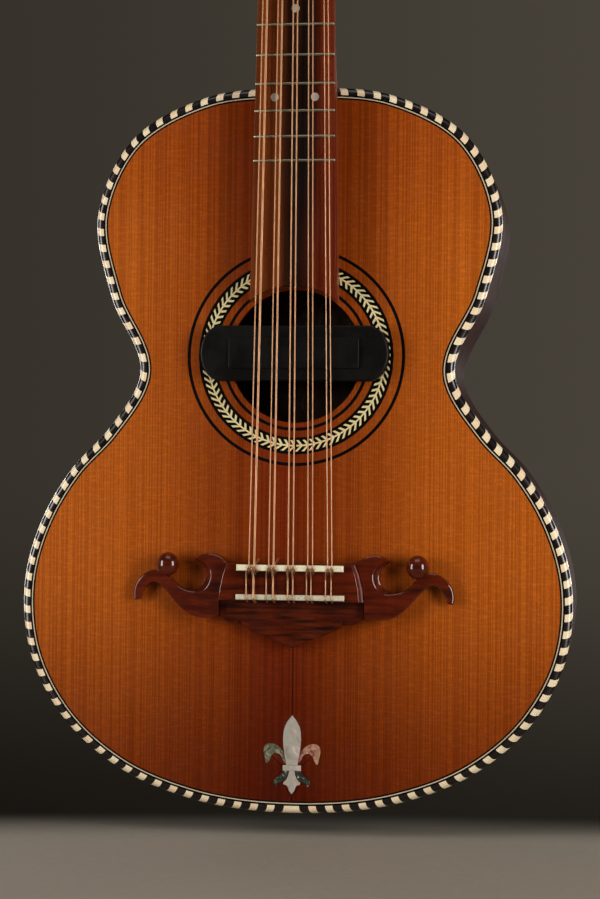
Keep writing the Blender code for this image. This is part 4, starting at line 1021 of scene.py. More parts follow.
spine_points = circle_points(SPINE_RADIUS)
spine_length = length_of(spine_points, True)
spine_path = edge_path("spine", spine_points, closed=True)
tile = barb_tile(spine_length / BARBS)
herringbone = grow("herringbone", along_edge, {
    "Edge": spine_path, "Tile": tile, "Count": BARBS, "Pitch": spine_length / BARBS, "Start": 0.0010,
    "Side": 1.0, "Seed": 3, "Light": line_cream, "Dark": line_cream})
remove(spine_path, tile)
settle(turn_outwards(herringbone), "herringbone", "rosette")
print(BARBS, "barbs, one every", round(spine_length / BARBS * 1000, 2), "mm")

# %% [markdown]
# ## Solid pieces from outlines
# The inlays, the board and the bridge are flat shapes with some thickness and softened edges. One helper
# makes such a plate from its outline. The rounding is a bevel on the edge of the front face alone, because
# the back face is glued down and stays sharp.

# %% A helper for plates with a rounded front edge
def keep_flat(made, front_at):
    """Marks the edges of a flat front sharp, so that its shading does not bend towards the rounding."""
    corners = made.data.vertices
    for edge in made.data.edges:
        ends = [corners[i].co for i in edge.vertices]
        if all(abs(end.y - front_at(end.x)) < 0.000002 for end in ends):
            edge.use_edge_sharp = True
    return made


def plate(name, outlines, front, back, rounding, segments, *finishes, smooth_below=radians(35)):
    """Plates of (x, z) outlines from one depth to another, with their front edge rounded."""
    shape = bmesh.new()
    front_edges = []
    for outline in outlines:
        rings = [[shape.verts.new((x, y, z)) for x, z in outline] for y in (front, back)]
        face = shape.faces.new(rings[0])
        shape.faces.new(list(reversed(rings[1])))
        for i in range(len(outline)):
            j = (i + 1) % len(outline)
            shape.faces.new((rings[0][i], rings[1][i], rings[1][j], rings[0][j]))
        front_edges += face.edges[:]
    bmesh.ops.recalc_face_normals(shape, faces=shape.faces[:])
    if rounding:
        bmesh.ops.bevel(shape, geom=front_edges, offset=rounding, segments=segments, profile=0.5,
                        affect="EDGES", clamp_overlap=True)
    made = add_object(name, shape, *finishes, smooth_below=smooth_below)
    return keep_flat(made, lambda x: front) if rounding else made


print("plates are ready")

# %% [markdown]
# ## The fleur-de-lis
# Below the bridge a fleur-de-lis is let into the top. Its middle petal, band and foot are white pearl; the
# side petals and the arms are abalone, which is darker and more colourful: grey-green on the left, rose on
# the right and teal in the arms, because each is cut from its own part of a shell. They lie in a filler
# mixed from the top's own wood dust, which closes the pocket round them.

# %% Inlay of pearl and abalone
PETAL = [(0.0, 0.7092), (0.0032, 0.7133), (0.0052, 0.7175), (0.0061, 0.7232), (0.0060, 0.7285),
         (0.0053, 0.7345), (0.0044, 0.7395), (0.0039, 0.7427)]
BAND = [(0.0063, 0.7427), (0.0063, 0.7465)]
FOOT = [(0.0019, 0.7465), (0.0024, 0.7495), (0.0037, 0.7523), (0.0059, 0.7545), (0.0057, 0.7557),
        (0.0035, 0.7563), (0.0028, 0.7572), (0.0018, 0.7600), (0.0, 0.7623)]
SIDE_PETAL = [(0.0047, 0.7415), (0.0060, 0.7338), (0.0094, 0.7299), (0.0146, 0.7281), (0.0182, 0.7294),
              (0.0193, 0.7330), (0.0187, 0.7371), (0.0169, 0.7423), (0.0154, 0.7402), (0.0138, 0.7366),
              (0.0117, 0.7348), (0.0094, 0.7351), (0.0073, 0.7366), (0.0063, 0.7392)]
ARM = [(0.0024, 0.7468), (0.0058, 0.7470), (0.0078, 0.7496), (0.0104, 0.7510), (0.0120, 0.7522),
       (0.0121, 0.7555), (0.0108, 0.7572), (0.0094, 0.7548), (0.0070, 0.7540), (0.0044, 0.7524)]
SHELL_FRONT, SHELL_BACK, SHELL_ROUNDING = -0.00005, 0.0011, 0.00012


petal = smooth_loop(drawn(PETAL), 5, closed=False)
petal_outline = petal + flipped(petal[1:])
side_petal = smooth_loop(drawn(SIDE_PETAL), 3)
arm = smooth_loop(drawn(ARM), 2)
pearl_outlines = [petal_outline, drawn(mirrored(BAND)), drawn(mirrored(FOOT))]
SHELL_PIECES = [
    ("fleur_pearl", pearl_outlines, SHELL_FRONT, pearl),
    ("fleur_petal_right", [side_petal], SHELL_FRONT * 0.8, abalone_rose),
    ("fleur_petal_left", [flipped(side_petal)], SHELL_FRONT * 0.8, abalone_green),
    ("fleur_arms", [arm, flipped(arm)], SHELL_FRONT * 0.8, abalone_teal),
]
for name, outlines, front, finish in SHELL_PIECES:
    settle(plate(name, outlines, front, SHELL_BACK, SHELL_ROUNDING, 1, finish), "pearl", "fleur_inlay")


def merged_copy(node):
    """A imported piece's shape as a bmesh, with its loose triangles joined."""
    shape = bmesh.new()
    shape.from_mesh(nodes[node].data)
    bmesh.ops.remove_doubles(shape, verts=shape.verts[:], dist=0.00001)
    return shape


settle(add_object("fleur_filler", merged_copy("fleur_inlay"), top_cedar), "pearl", "fleur_inlay")
print("fleur-de-lis of", len(pearl_outlines) + 4, "pieces of shell")

# %% [markdown]
# ## The fingerboard
# A plank of rosewood that widens from the nut towards the body and ends in an arc round the soundhole.
# It is a plate of its outline with softly broken edges.

# %% The board
BOARD_FACE, BOARD_BACK = -0.0160, -0.0095
BOARD_HALF_AT_NUT, BOARD_TAPER = 0.02175, 0.0172
BOARD_ARC = 0.0464


def board_half(distance):
    return BOARD_HALF_AT_NUT + BOARD_TAPER * distance


def board_outline():
    """Down the right edge, round the arc and up the left edge."""
    end_x = board_half(0.4321)
    made = [Vector((board_half(0.0004), along(0.0004)))]
    for i in range(25):
        x = end_x * (1 - 2 * i / 24)
        made.append(Vector((x, HOLE_CENTRE.y + sqrt(BOARD_ARC**2 - x * x))))
    made.append(Vector((-board_half(0.0004), along(0.0004))))
    return made


board = plate("board", [board_outline()], BOARD_FACE, BOARD_BACK, 0.0006, 3, board_rosewood)
settle(board, "rosewood", "fingerboard")
print("board", round(2000 * board_half(0), 1), "mm wide at the nut")

# %% [markdown]
# ## Frets by the rule
# Each fret divides the string's remaining length by the twelfth root of two. A small tree takes that rule
# literally: a point for every fret, moved to its distance from the nut, and on each a crowned wire
# scaled to the board's width there. Changing the scale length or the count respaces them all.

# %% The frets
FRETS = 14
FRET_WIDTH, FRET_RISE = 0.0018, 0.0010


def fret_wire():
    """A crowned wire from -1 to 1 along X, with sloped ends, that a fret scales to its length."""
    shape = bmesh.new()
    rings = []
    for x, sink in ((-1.0, 0.45), (-0.975, 0.0), (0.975, 0.0), (1.0, 0.45)):
        ring_points = []
        for i in range(9):
            a = pi * i / 8
            rise = FRET_RISE * sin(a) * (1 - sink)
            ring_points.append(shape.verts.new((x, -rise, FRET_WIDTH / 2 * cos(a))))
        ring_points.append(shape.verts.new((x, 0.0006, -FRET_WIDTH / 2 * 0.9)))
        ring_points.append(shape.verts.new((x, 0.0006, FRET_WIDTH / 2 * 0.9)))
        rings.append(ring_points)
    shape.faces.new(rings[0])
    shape.faces.new(list(reversed(rings[-1])))
    add_walls(shape, rings)
    return add_object("fret_wire", shape)


def fret_tree():
    tree, given = new_tree("frets by the rule", [
        ("Wire", "Object"), ("Count", "Int"), ("Scale Length", "Float"), ("Half At Nut", "Float"),
        ("Taper", "Float"), ("Nut Height", "Float"), ("Face", "Float"), ("Metal", "Material")])
    wire = put(tree, "GeometryNodeObjectInfo", {"Object": given["Wire"]})
    row = put(tree, "GeometryNodeMeshLine", {"Count": given["Count"], "Offset": (0, 0, 0)}).outputs[0]
    number = maths(tree, "ADD", tree.nodes.new("GeometryNodeInputIndex").outputs[0], 1.0)
    left = maths(tree, "POWER", 2.0, maths(tree, "DIVIDE", number, -12.0))
    distance = maths(tree, "MULTIPLY", given["Scale Length"], maths(tree, "SUBTRACT", 1.0, left))
    height = maths(tree, "SUBTRACT", given["Nut Height"], distance)
    half = maths(tree, "MULTIPLY_ADD", distance, given["Taper"], given["Half At Nut"])
    place = put(tree, "ShaderNodeCombineXYZ", {0: 0.0, 1: given["Face"], 2: height}).outputs[0]
    size = put(tree, "ShaderNodeCombineXYZ", {0: half, 1: 1.0, 2: 1.0}).outputs[0]
    placed = put(tree, "GeometryNodeSetPosition", {"Geometry": row, "Position": place}).outputs[0]
    # Height and size both follow from the point's number, so the size holds after the point has moved.
    inputs = {"Points": placed, "Instance": live(wire.outputs, "Geometry"), "Scale": size}
    finish_tree(tree, put(tree, "GeometryNodeInstanceOnPoints", inputs).outputs[0], given["Metal"])
    return tree


wire = fret_wire()
frets = grow("frets", fret_tree(), {
    "Wire": wire, "Count": FRETS, "Scale Length": SCALE_LENGTH, "Half At Nut": BOARD_HALF_AT_NUT,
    "Taper": BOARD_TAPER, "Nut Height": NUT_HEIGHT, "Face": BOARD_FACE, "Metal": fret_metal})
remove(wire)
settle(turn_outwards(frets), "nickel", "fingerboard")
print(FRETS, "frets")

# %% [markdown]
# ## Position dots
# Pearl dots mark the places a player looks for: one each in the third, fifth, seventh and ninth spaces
# and a pair at the octave. Each is a thin disc, let in flush.

# %% The dots
def space_middle(number):
    """The middle of the space before a fret."""
    near, far_fret = (SCALE_LENGTH * (1 - 2 ** (-n / 12)) for n in (number - 1, number))
    return (near + far_fret) / 2


DOT_RADIUS = 0.00275
dot_places = [(0.0, space_middle(number)) for number in (3, 5, 7, 9)]
dot_places += [(-0.0136, space_middle(12)), (0.0136, space_middle(12))]
dot_outlines = []
for x, distance in dot_places:
    angles = [2 * pi * i / 28 for i in range(28)]
    dot_outlines.append([(x + DOT_RADIUS * sin(a), along(distance) + DOT_RADIUS * cos(a)) for a in angles])
dots = plate("board_dots", dot_outlines, BOARD_FACE - 0.00004, BOARD_FACE + 0.0010, 0.0, 1, pearl)
settle(dots, "pearl")
print(len(dot_places), "dots")

# %% [markdown]
# ## The bridge's middle piece
# The bridge is one glued-on block of dark, streaky rosewood. Its foot spreads into a bracket shape that
# comes to a point above the tail, with a small cusp on each side, and the tie block stands on it between
# the two bone bars. The block's sides lean in, so that they catch the light beside the scrolls. The foot's
# outline is smooth between its cusps, so it is drawn in three runs.

# %% Foot and tie block
FOOT_RUNS = [
    [(0.0432, 0.6072), (0.0462, 0.6150), (0.0481, 0.6240), (0.0490, 0.6340), (0.0490, 0.6425)],
    [(0.0490, 0.6425), (0.0465, 0.6447), (0.0422, 0.6473), (0.0379, 0.6479), (0.0350, 0.6464)],
    [(0.0350, 0.6464), (0.0311, 0.6505), (0.0243, 0.6540), (0.0141, 0.6577), (0.0056, 0.6613), (0.0, 0.6638)],
]
FOOT_TOP, FOOT_BACK = -0.0080, -0.0003


def joined_runs(runs, steps, placed=drawn):
    """Smooth runs of a half outline, with a corner where one meets the next, mirrored into a whole."""
    half = []
    for run_points in runs:
        half += smooth_loop(placed(run_points), steps, closed=False)[:-1]
    half += placed(runs[-1][-1:])
    return half + flipped([point for point in half if point.x > 0.00001])


foot = plate("bridge_foot", [joined_runs(FOOT_RUNS, 4)], FOOT_TOP, FOOT_BACK, 0.0016, 4, block_rosewood)
settle(foot, "carved_rosewood", "bridge")
BLOCK_TOP = -0.0170
BLOCK_EDGE = [(0.0433, 0.6072), (0.0461, 0.6150), (0.0480, 0.6240), (0.0488, 0.6322)]
# The block's sides lean in towards its top by this much: the left one hardly, the right one clearly.
BLOCK_LEANS = (0.0006, 0.0026)
# The lean starts at this depth, and the face's edge is broken by this much.
LEAN_START, BLOCK_ROUNDING = -0.0123, 0.0005


def make_tie_block():
    """The block's face with its edges broken, and sides that lean out to the scrolls."""
    base = drawn(BLOCK_EDGE) + flipped(drawn(BLOCK_EDGE))
    top = [Vector((p.x - BLOCK_LEANS[1] if p.x > 0 else p.x + BLOCK_LEANS[0], p.y)) for p in base]
    shape = bmesh.new()
    levels = ((base, FOOT_TOP + 0.001), (base, LEAN_START), (top, BLOCK_TOP))
    rings = [[shape.verts.new((p.x, y, p.y)) for p in loop] for loop, y in levels]
    shape.faces.new(rings[0])
    front = shape.faces.new(rings[-1])
    add_walls(shape, rings)
    bmesh.ops.recalc_face_normals(shape, faces=shape.faces[:])
    bmesh.ops.bevel(shape, geom=front.edges[:], offset=BLOCK_ROUNDING, segments=3, profile=0.5,
                    affect="EDGES", clamp_overlap=True)
    made = add_object("tie_block", shape, carved_rosewood, smooth_below=radians(30))
    return keep_flat(made, lambda x: BLOCK_TOP)


settle(make_tie_block(), "carved_rosewood", "bridge")


def bar(name, length, thickness, distance, front, back, finish):
    """A straight bone bar across the middle line."""
    half, side = length / 2, thickness / 2
    outline = drawn(mirrored([(half, distance - side), (half, distance + side)]))
    return plate(name, [outline], front, back, 0.0009, 4, finish)


SADDLE_TOP, BAR_TOP, BARS_BACK = -0.0200, -0.0186, -0.0130
saddle_bar = bar("saddle_bar", 0.0718, 0.0042, SCALE_LENGTH, SADDLE_TOP, BARS_BACK, bone)
rear_bar = bar("rear_bar", 0.0731, 0.0037, 0.6296, BAR_TOP, BARS_BACK, worn_bone)
settle(saddle_bar, "bone", "saddle")
settle(rear_bar, "bone", "tie_bar")
print("bridge block", round(2000 * BLOCK_EDGE[-1][0], 1), "mm wide")

# %% [markdown]
# ## The carved scrolls
# Each end of the bridge is carved: a horn curls back over a crescent hollow, an arm leaves it, rises over
# an arch and droops into a tail, and a turned ball sits on the arch. The hollow's wall is cut sloping and
# the tail's outer edge is broken with a broad bevel, and both catch the light. The top is built as rings
# of one outline, each a little further in and up, so that every edge is round.

# %% The scrolls and their balls
SCROLL_EDGE = [
    (0.0434, 0.6071), (0.0484, 0.6032), (0.0553, 0.6012), (0.0614, 0.6020), (0.0667, 0.6048),
    (0.0616, 0.6062), (0.0569, 0.6100), (0.0552, 0.6156), (0.0568, 0.6216), (0.0612, 0.6262),
    (0.0680, 0.6266), (0.0752, 0.6246), (0.0798, 0.6208), (0.0845, 0.6160), (0.0905, 0.6128),
    (0.0970, 0.6133), (0.1030, 0.6170), (0.1070, 0.6225), (0.1084, 0.6290), (0.1078, 0.6332),
    (0.1040, 0.6326), (0.1025, 0.6280), (0.0995, 0.6237), (0.0954, 0.6209), (0.0909, 0.6217),
    (0.0866, 0.6256), (0.0816, 0.6313), (0.0754, 0.6376), (0.0685, 0.6423), (0.0610, 0.6440),
    (0.0535, 0.6438), (0.0491, 0.6424), (0.0491, 0.6340), (0.0482, 0.6240), (0.0463, 0.6150),
]
# The outline's corners, where the smooth runs meet: horn's root, horn's tip, tail's two ends, arm's root.
SCROLL_CORNERS = (0, 4, 19, 20, 31)
SCROLL_RISE, SCROLL_FALL = 0.0125, 0.105
# The hollow runs from the horn's tip to the arm. Its wall spreads outwards towards the top by this much.
HOLLOW_START, HOLLOW_END, HOLLOW_SLOPE, HOLLOW_DROP = 4.0, 10.5, 0.0030, 0.0026
BALL_PLACE, BALL_HEIGHT, BALL_RADII = (0.0843, 0.6087), 0.0085, (0.0075, 0.0072, 0.0081)
SCROLL_STEPS = 4
SCROLL_BACK = -0.0003
# A point may move in by this share of the way across, and by this much along the joint, which starts here.
ROOM_SHARE, JOINT_ROOM, JOINT_START = 0.33, 0.00012, 30.9
# Each ring of the top: how far in, and how far below the surface. The widest step is a chamfer that faces
# the light.
SCROLL_RINGS = [(0.0, 0.0009), (0.00005, 0.00055), (0.00012, 0.00044), (0.0009, 0.00002), (0.0010, 0.0)]


def scroll_outline(steps):
    """The outline drawn smooth between its corners."""
    points = drawn(SCROLL_EDGE)
    made = []
    stops = list(SCROLL_CORNERS) + [len(points)]
    for first, last in zip(stops, stops[1:]):
        run_points = [points[i % len(points)] for i in range(first, last + 1)]
        made += smooth_loop(run_points, steps, closed=False)[:-1]
    return made


def inward_normals(loop):
    """For each point of a closed loop, the way into it."""
    area = sum(a.x * b.y - b.x * a.y for a, b in zip(loop, loop[1:] + loop[:1]))
    side = 1 if area > 0 else -1
    made = []
    for i, point in enumerate(loop):
        before, after = loop[i - 1], loop[(i + 1) % len(loop)]
        tangent = ((point - before).normalized() + (after - point).normalized()).normalized()
        made.append(Vector((-tangent.y, tangent.x)) * side)
    return made


def room_inside(loop, normals):
    """How far each point may move inwards: part of the way to the other side, evened out."""
    count = len(loop)
    rooms = []
    for i, (point, normal) in enumerate(zip(loop, normals)):
        nearest = 0.02
        for j in range(count):
            if j in (i, (i - 1) % count):
                continue
            hit = intersect_line_line_2d(point, point + normal * 0.02, loop[j], loop[(j + 1) % count])
            if hit is not None:
                nearest = min(nearest, (hit - point).length)
        rooms.append(nearest * ROOM_SHARE)
    narrow = [min(rooms[(i + k) % count] for k in range(-4, 5)) for i in range(count)]
    return [sum(narrow[(i + k) % count] for k in range(-2, 3)) / 5 for i in range(count)]


def cap(shape, corners, loop):
    """Fills a ring of corners, whose flat outline is the loop, with triangles that stay inside it."""
    edges = [(i, (i + 1) % len(loop)) for i in range(len(loop))]
    found = delaunay_2d_cdt(loop, edges, [], 1, 0.0000001)
    origins = found[3]
    for triangle in found[2]:
        shape.faces.new([corners[origins[i][0]] for i in triangle])


def make_scroll(name, side, stands_for):
    outline = scroll_outline(SCROLL_STEPS)
    normals = inward_normals(outline)
    rooms = room_inside(outline, normals)
    joint = SCROLL_EDGE[0][0]
    # Against the middle piece the edge stays square, so that the joint is tight.
    for i in range(len(outline)):
        if i == 0 or i / SCROLL_STEPS > JOINT_START:
            rooms[i] = JOINT_ROOM
    shape = bmesh.new()
    bottom = []
    for i, (point, normal) in enumerate(zip(outline, normals)):
        place = i / SCROLL_STEPS
        rising = max(0.0, min(1.0, (place - HOLLOW_START) / 1.5))
        falling = max(0.0, min(1.0, (HOLLOW_END - place) / 1.5))
        bottom.append(point - normal * HOLLOW_SLOPE * min(rising, falling))
    loops = [bottom, bottom]
    rings = [[shape.verts.new((side * p.x, SCROLL_BACK, p.y)) for p in bottom]]
    rings.append([shape.verts.new((side * p.x, SCROLL_FALL * (p.x - joint) - SCROLL_RISE + HOLLOW_DROP, p.y))
                  for p in bottom])
    for inset, drop in SCROLL_RINGS:
        loop = [p + n * min(inset, room) for p, n, room in zip(outline, normals, rooms)]
        made = []
        for point in loop:
            top = SCROLL_FALL * (point.x - joint) - SCROLL_RISE
            made.append(shape.verts.new((side * point.x, top + drop, point.y)))
        loops.append(loop)
        rings.append(made)
    add_walls(shape, rings)
    cap(shape, rings[0], loops[0])
    cap(shape, rings[-1], loops[-1])
    ball_place = Matrix.Translation((side * BALL_PLACE[0], -BALL_HEIGHT, along(BALL_PLACE[1])))
    bmesh.ops.create_uvsphere(shape, u_segments=48, v_segments=28, radius=1,
                              matrix=ball_place @ Matrix.Diagonal((*BALL_RADII, 1)))
    made = add_object(name, shape, carved_rosewood, smooth_below=radians(50))
    keep_flat(made, lambda x: SCROLL_FALL * (abs(x) - joint) - SCROLL_RISE)
    return settle(made, "carved_rosewood", stands_for)


make_scroll("scroll_left", -1, "bridge_scroll_left")
make_scroll("scroll_right", 1, "bridge_scroll_right")
print("scrolls reach", round(SCROLL_EDGE[18][0] * 1000, 1), "mm from the middle")

# %% [markdown]
# ## The pickup
# A flat bar of matt black plastic lies over the soundhole, with a slightly raised cover. Each end is half
# an ellipse, drawn by its own angle, and both pieces are plates with softly rounded edges.

# %% Pickup bar and cover
PICKUP_DISTANCE, PICKUP_HALF, PICKUP_SIDE, PICKUP_END = 0.4665, 0.0636, 0.0186, 0.0136
PICKUP_FRONT, PICKUP_BACK = -0.0098, -0.0003
LID_HALF, LID_SIDE, LID_FRONT = 0.0440, 0.0103, -0.0115


def rounded_corners(points, radius, steps):
    """A closed outline with each corner replaced by a short curve."""
    made = []
    for i, corner in enumerate(points):
        first = corner + (points[i - 1] - corner).normalized() * radius
        last = corner + (points[(i + 1) % len(points)] - corner).normalized() * radius
        for step in range(steps + 1):
            t = step / steps
            made.append(first * (1 - t) ** 2 + corner * 2 * t * (1 - t) + last * t**2)
    return made


shoulder = PICKUP_HALF - PICKUP_END
angles = [pi * (i / 24 - 0.5) for i in range(25)]
end = [(shoulder + PICKUP_END * cos(a), PICKUP_DISTANCE + PICKUP_SIDE * sin(a)) for a in angles]
bar_outline = drawn(mirrored(end))
housing = plate("pickup_bar", [bar_outline], PICKUP_FRONT, PICKUP_BACK, 0.0013, 4, pickup_plastic)
settle(housing, "pickup_plastic", "pickup_housing")
corners = [(LID_HALF, PICKUP_DISTANCE - LID_SIDE), (LID_HALF, PICKUP_DISTANCE + LID_SIDE)]
lid_outline = rounded_corners(drawn(mirrored(corners)), 0.0015, 4)
cover = plate("pickup_lid", [lid_outline], LID_FRONT, PICKUP_FRONT, 0.0005, 3, pickup_plastic)
settle(cover, "pickup_plastic", "pickup_cover")
print("pickup", round(2000 * PICKUP_HALF, 1), "mm long")

# %% [markdown]
# ## Turned pieces and tubes
# Posts, shafts and knobs are turned, strings and windings are wires. Two helpers make them: one turns a
# profile about an axis, the other sweeps a round section along a route, with its frame carried along
# without twist so that bends stay clean.

# %% Helpers for turned pieces and wires
def add_rings(shape, rings, closed_ends=True):
    """Joins rings of points into a tube in this bmesh."""
    made = [[shape.verts.new(point) for point in ring_points] for ring_points in rings]
    add_walls(shape, made)
    if closed_ends:
        shape.faces.new(made[0])
        shape.faces.new(list(reversed(made[-1])))


def add_wire(shape, route, radius, sides=8, taper=1.0):
    """A wire along a route, thinner at its end where the taper is below one."""
    route = [Vector(point) for point in route]
    across_it = None
    rings = []
    for i, point in enumerate(route):
        before, after = route[max(i - 1, 0)], route[min(i + 1, len(route) - 1)]
        tangent = (after - before).normalized()
        if across_it is None:
            across_it = tangent.orthogonal().normalized()
        across_it = (across_it - tangent * across_it.dot(tangent)).normalized()
        other = tangent.cross(across_it)
        thick = radius * (1 + (taper - 1) * i / (len(route) - 1))
        angles = [2 * pi * k / sides for k in range(sides)]
        rings.append([point + (across_it * cos(a) + other * sin(a)) * thick for a in angles])
    add_rings(shape, rings)


print("wires and turnings are ready")

# %% [markdown]
# ## The strings
# Ten strings in five pairs run from the head over the nut and the saddle. Behind the saddle each one is
# tied: it goes down into the block, comes back in a loop over itself and runs on, a little to the left,
# over the rear bar and down behind it. The two thickest have frayed tags in front of the saddle. All but
# the two thinnest carry a bronze winding, and those two are plain wire.

# %% Strings with their ties
NUT_THICKNESS, NUT_SLOT, NUT_COURSE_STEP, NUT_PAIR_STEP = 0.0047, -0.0172, 0.0085, 0.0026
HEAD_ORIGIN, HEAD_TILT = Vector((0.0, -0.0092, along(-NUT_THICKNESS))), 13
head_frame = Matrix.Translation(HEAD_ORIGIN) @ Matrix.Rotation(radians(-HEAD_TILT), 4, "X")
POST_ACROSS, POST_FIRST_UP, POST_STEP, POSTS_A_SIDE = 0.0245, 0.0300, 0.0245, 5
WINDING_RADIUS, WINDING_MIDDLE = 0.0040, -0.0070
STRING_DIAMETERS = [0.0009, 0.0016, 0.0008, 0.00135, 0.0010, 0.0010, 0.0008, 0.0008, 0.0007, 0.0007]
SADDLE_COURSE_STEP, SADDLE_SHIFT = 0.0131, 0.00085
SADDLE_PAIR_STEPS = [0.0036, 0.0033, 0.0034, 0.0032, 0.0029]
# Strings with a greater radius than the first are wound. No knot stands further forward than the second,
# and the third is the radius of a cut tag.
PLAIN_RADIUS, KNOT_FRONT, TAG_RADIUS = 0.00039, -0.0217, 0.00013
TIE_SHIFTS = [0.0023, 0.0009, 0.0020, 0.0007, 0.0006, 0.0006, 0.0012, 0.0014, 0.0017, 0.0009]
GAP = 0.0003


def string_places(number):
    """How far right of the middle a string lies at the nut and at the saddle."""
    course, member = divmod(number, 2)
    at_nut = (course - 2) * NUT_COURSE_STEP + (member - 0.5) * NUT_PAIR_STEP
    at_saddle = (course - 2) * SADDLE_COURSE_STEP + SADDLE_SHIFT + (member - 0.5) * SADDLE_PAIR_STEPS[course]
    return at_nut, at_saddle


def curve_through(points, steps):
    """A smooth open curve through 3-D points."""
    return smooth_loop([Vector(point) for point in points], steps, closed=False)


def wire_finish(radius):
    """Bronze winding on the thicker strings, plain wire for the thin ones."""
    return bronze if radius > PLAIN_RADIUS else plain_wire


def make_string(number):
    """A string from its post to its tie, with the tie's loop and, on two of them, the cut tags."""
    radius = STRING_DIAMETERS[number] / 2
    side = -1 if number < POSTS_A_SIDE else 1
    place = number if side < 0 else 2 * POSTS_A_SIDE - 1 - number
    up = POST_FIRST_UP + POST_STEP * place
    start = head_frame @ Vector((side * (POST_ACROSS - WINDING_RADIUS - GAP - radius), WINDING_MIDDLE, up))
    nut_x, saddle_x = string_places(number)
    nut_y = NUT_SLOT - GAP - radius
    saddle_y, bar_y = SADDLE_TOP - radius, BAR_TOP - radius
    shift = TIE_SHIFTS[number]
    shape = bmesh.new()
    before_nut = Vector((nut_x, nut_y, along(-NUT_THICKNESS)))
    main = [start, start.lerp(before_nut, 0.5), start.lerp(before_nut, 0.97), before_nut,
            (nut_x, nut_y, along(0.0)), (nut_x + (saddle_x - nut_x) * 0.01, nut_y, along(0.004)),
            (nut_x * 0.5 + saddle_x * 0.5, (nut_y + saddle_y) / 2, along(0.305)),
            (saddle_x, saddle_y, along(0.6085)), (saddle_x, saddle_y, along(0.6110)),
            (saddle_x - shift * 0.1, saddle_y + 0.0016, along(0.6128)),
            (saddle_x - shift * 0.1, BLOCK_TOP + 0.0008, along(0.6142))]
    add_wire(shape, main, radius, 10)
    tie_x = saddle_x - shift
    # The loop lies over the string, but no further forward than the knots do.
    loop_y = max(SADDLE_TOP - 3 * radius, KNOT_FRONT + radius)
    tie = curve_through([
        (saddle_x + 2.2 * radius, SADDLE_TOP + 0.0006, along(0.6124)),
        (saddle_x + 1.9 * radius, SADDLE_TOP - radius, along(0.6108)),
        (saddle_x + 0.2 * radius, loop_y, along(0.6096)),
        (saddle_x - 2.0 * radius, SADDLE_TOP - radius, along(0.6106)),
        (saddle_x * 0.4 + tie_x * 0.6 - radius, SADDLE_TOP + 0.0004, along(0.6128)),
        (tie_x, BLOCK_TOP - 1.6 * radius, along(0.6170)),
        (tie_x + 0.0001, BLOCK_TOP - 1.9 * radius, along(0.6225)),
        (tie_x + 0.0002, bar_y + 0.0004, along(0.6272)),
        (tie_x + 0.0003, bar_y, along(0.6290)),
        (tie_x + 0.0005, bar_y, along(0.6306)),
        (tie_x + 0.0007, BAR_TOP + 0.0012, along(0.6324)),
        (tie_x + 0.0007, BLOCK_TOP + 0.0040, along(0.6330)),
    ], 4)
    add_wire(shape, tie, radius, 8)
    if number in (1, 3):
        for i in range(4):
            lean = (i - 1.5) * 0.0011
            far_y = SADDLE_TOP - 0.0009 - 0.0006 * (i % 2)
            tag = curve_through([
                (saddle_x + 0.0004, SADDLE_TOP - 0.0003, along(0.6085)),
                (saddle_x + 0.0010 + lean * 0.5, SADDLE_TOP - 0.0008 - 0.0002 * i, along(0.6066)),
                (saddle_x + 0.0016 + lean * 1.6, far_y, along(0.6046 - 0.0005 * i)),
            ], 4)
            add_wire(shape, tag, TAG_RADIUS, 5, 0.5)
    made = add_object(f"wire_{number + 1}", shape, wire_finish(radius), smooth_below=radians(60))
    return settle(made, "bronze", f"string_{number + 1}")


for number in range(len(STRING_DIAMETERS)):
    make_string(number)
print(len(STRING_DIAMETERS), "strings over a", round(SCALE_LENGTH * 1000), "mm scale")

# %% [markdown]
# ## Neck and head
# The neck is carved from one piece of cedar: a flat under the board, a rounded back that swells into the
# heel, and a head that tilts back behind the nut. A carved neck has no edges along its back, so its
# sections are drawn finely and close together. A tongue carries the board on over the body.

# %% The neck
NECK_FRONT = BOARD_BACK + GAP
NECK_STATIONS = [(-0.0052, 0.0055), (0.0600, 0.0065), (0.1500, 0.0077), (0.2250, 0.0085)]
HEEL_END, HEEL_BACK = 0.2867, 0.0855
NECK_FULLNESS, HEEL_FULLNESS = 2.2, 1.65


def neck_ring(distance, back, fullness):
    """The neck's section: a flat under the board and a rounded back."""
    ring_points = []
    for i in range(33):
        a = pi * i / 32
        half = board_half(max(distance, 0.0))
        x = half * (1 if cos(a) > 0 else -1) * abs(cos(a)) ** (2 / fullness)
        depth = NECK_FRONT + (back - NECK_FRONT) * sin(a) ** (2 / fullness)
        ring_points.append((x, depth, along(distance)))
    return ring_points


def make_neck():
    rings = []
    for (first, first_back), (last, last_back) in zip(NECK_STATIONS, NECK_STATIONS[1:]):
        for step in range(6):
            t = step / 6
            rings.append(neck_ring(first + (last - first) * t, first_back + (last_back - first_back) * t,
                                   NECK_FULLNESS))
    heel_start, thin_back = NECK_STATIONS[-1]
    for i in range(29):
        a = pi / 2 * i / 28
        back = thin_back + (HEEL_BACK - thin_back) * (1 - cos(a))
        fullness = NECK_FULLNESS + (HEEL_FULLNESS - NECK_FULLNESS) * i / 28
        rings.append(neck_ring(heel_start + (HEEL_END - heel_start) * sin(a), back, fullness))
    shape = bmesh.new()
    add_rings(shape, rings)
    return settle(add_object("neck_shaft", shape, neck_cedar), "neck_cedar", "neck")


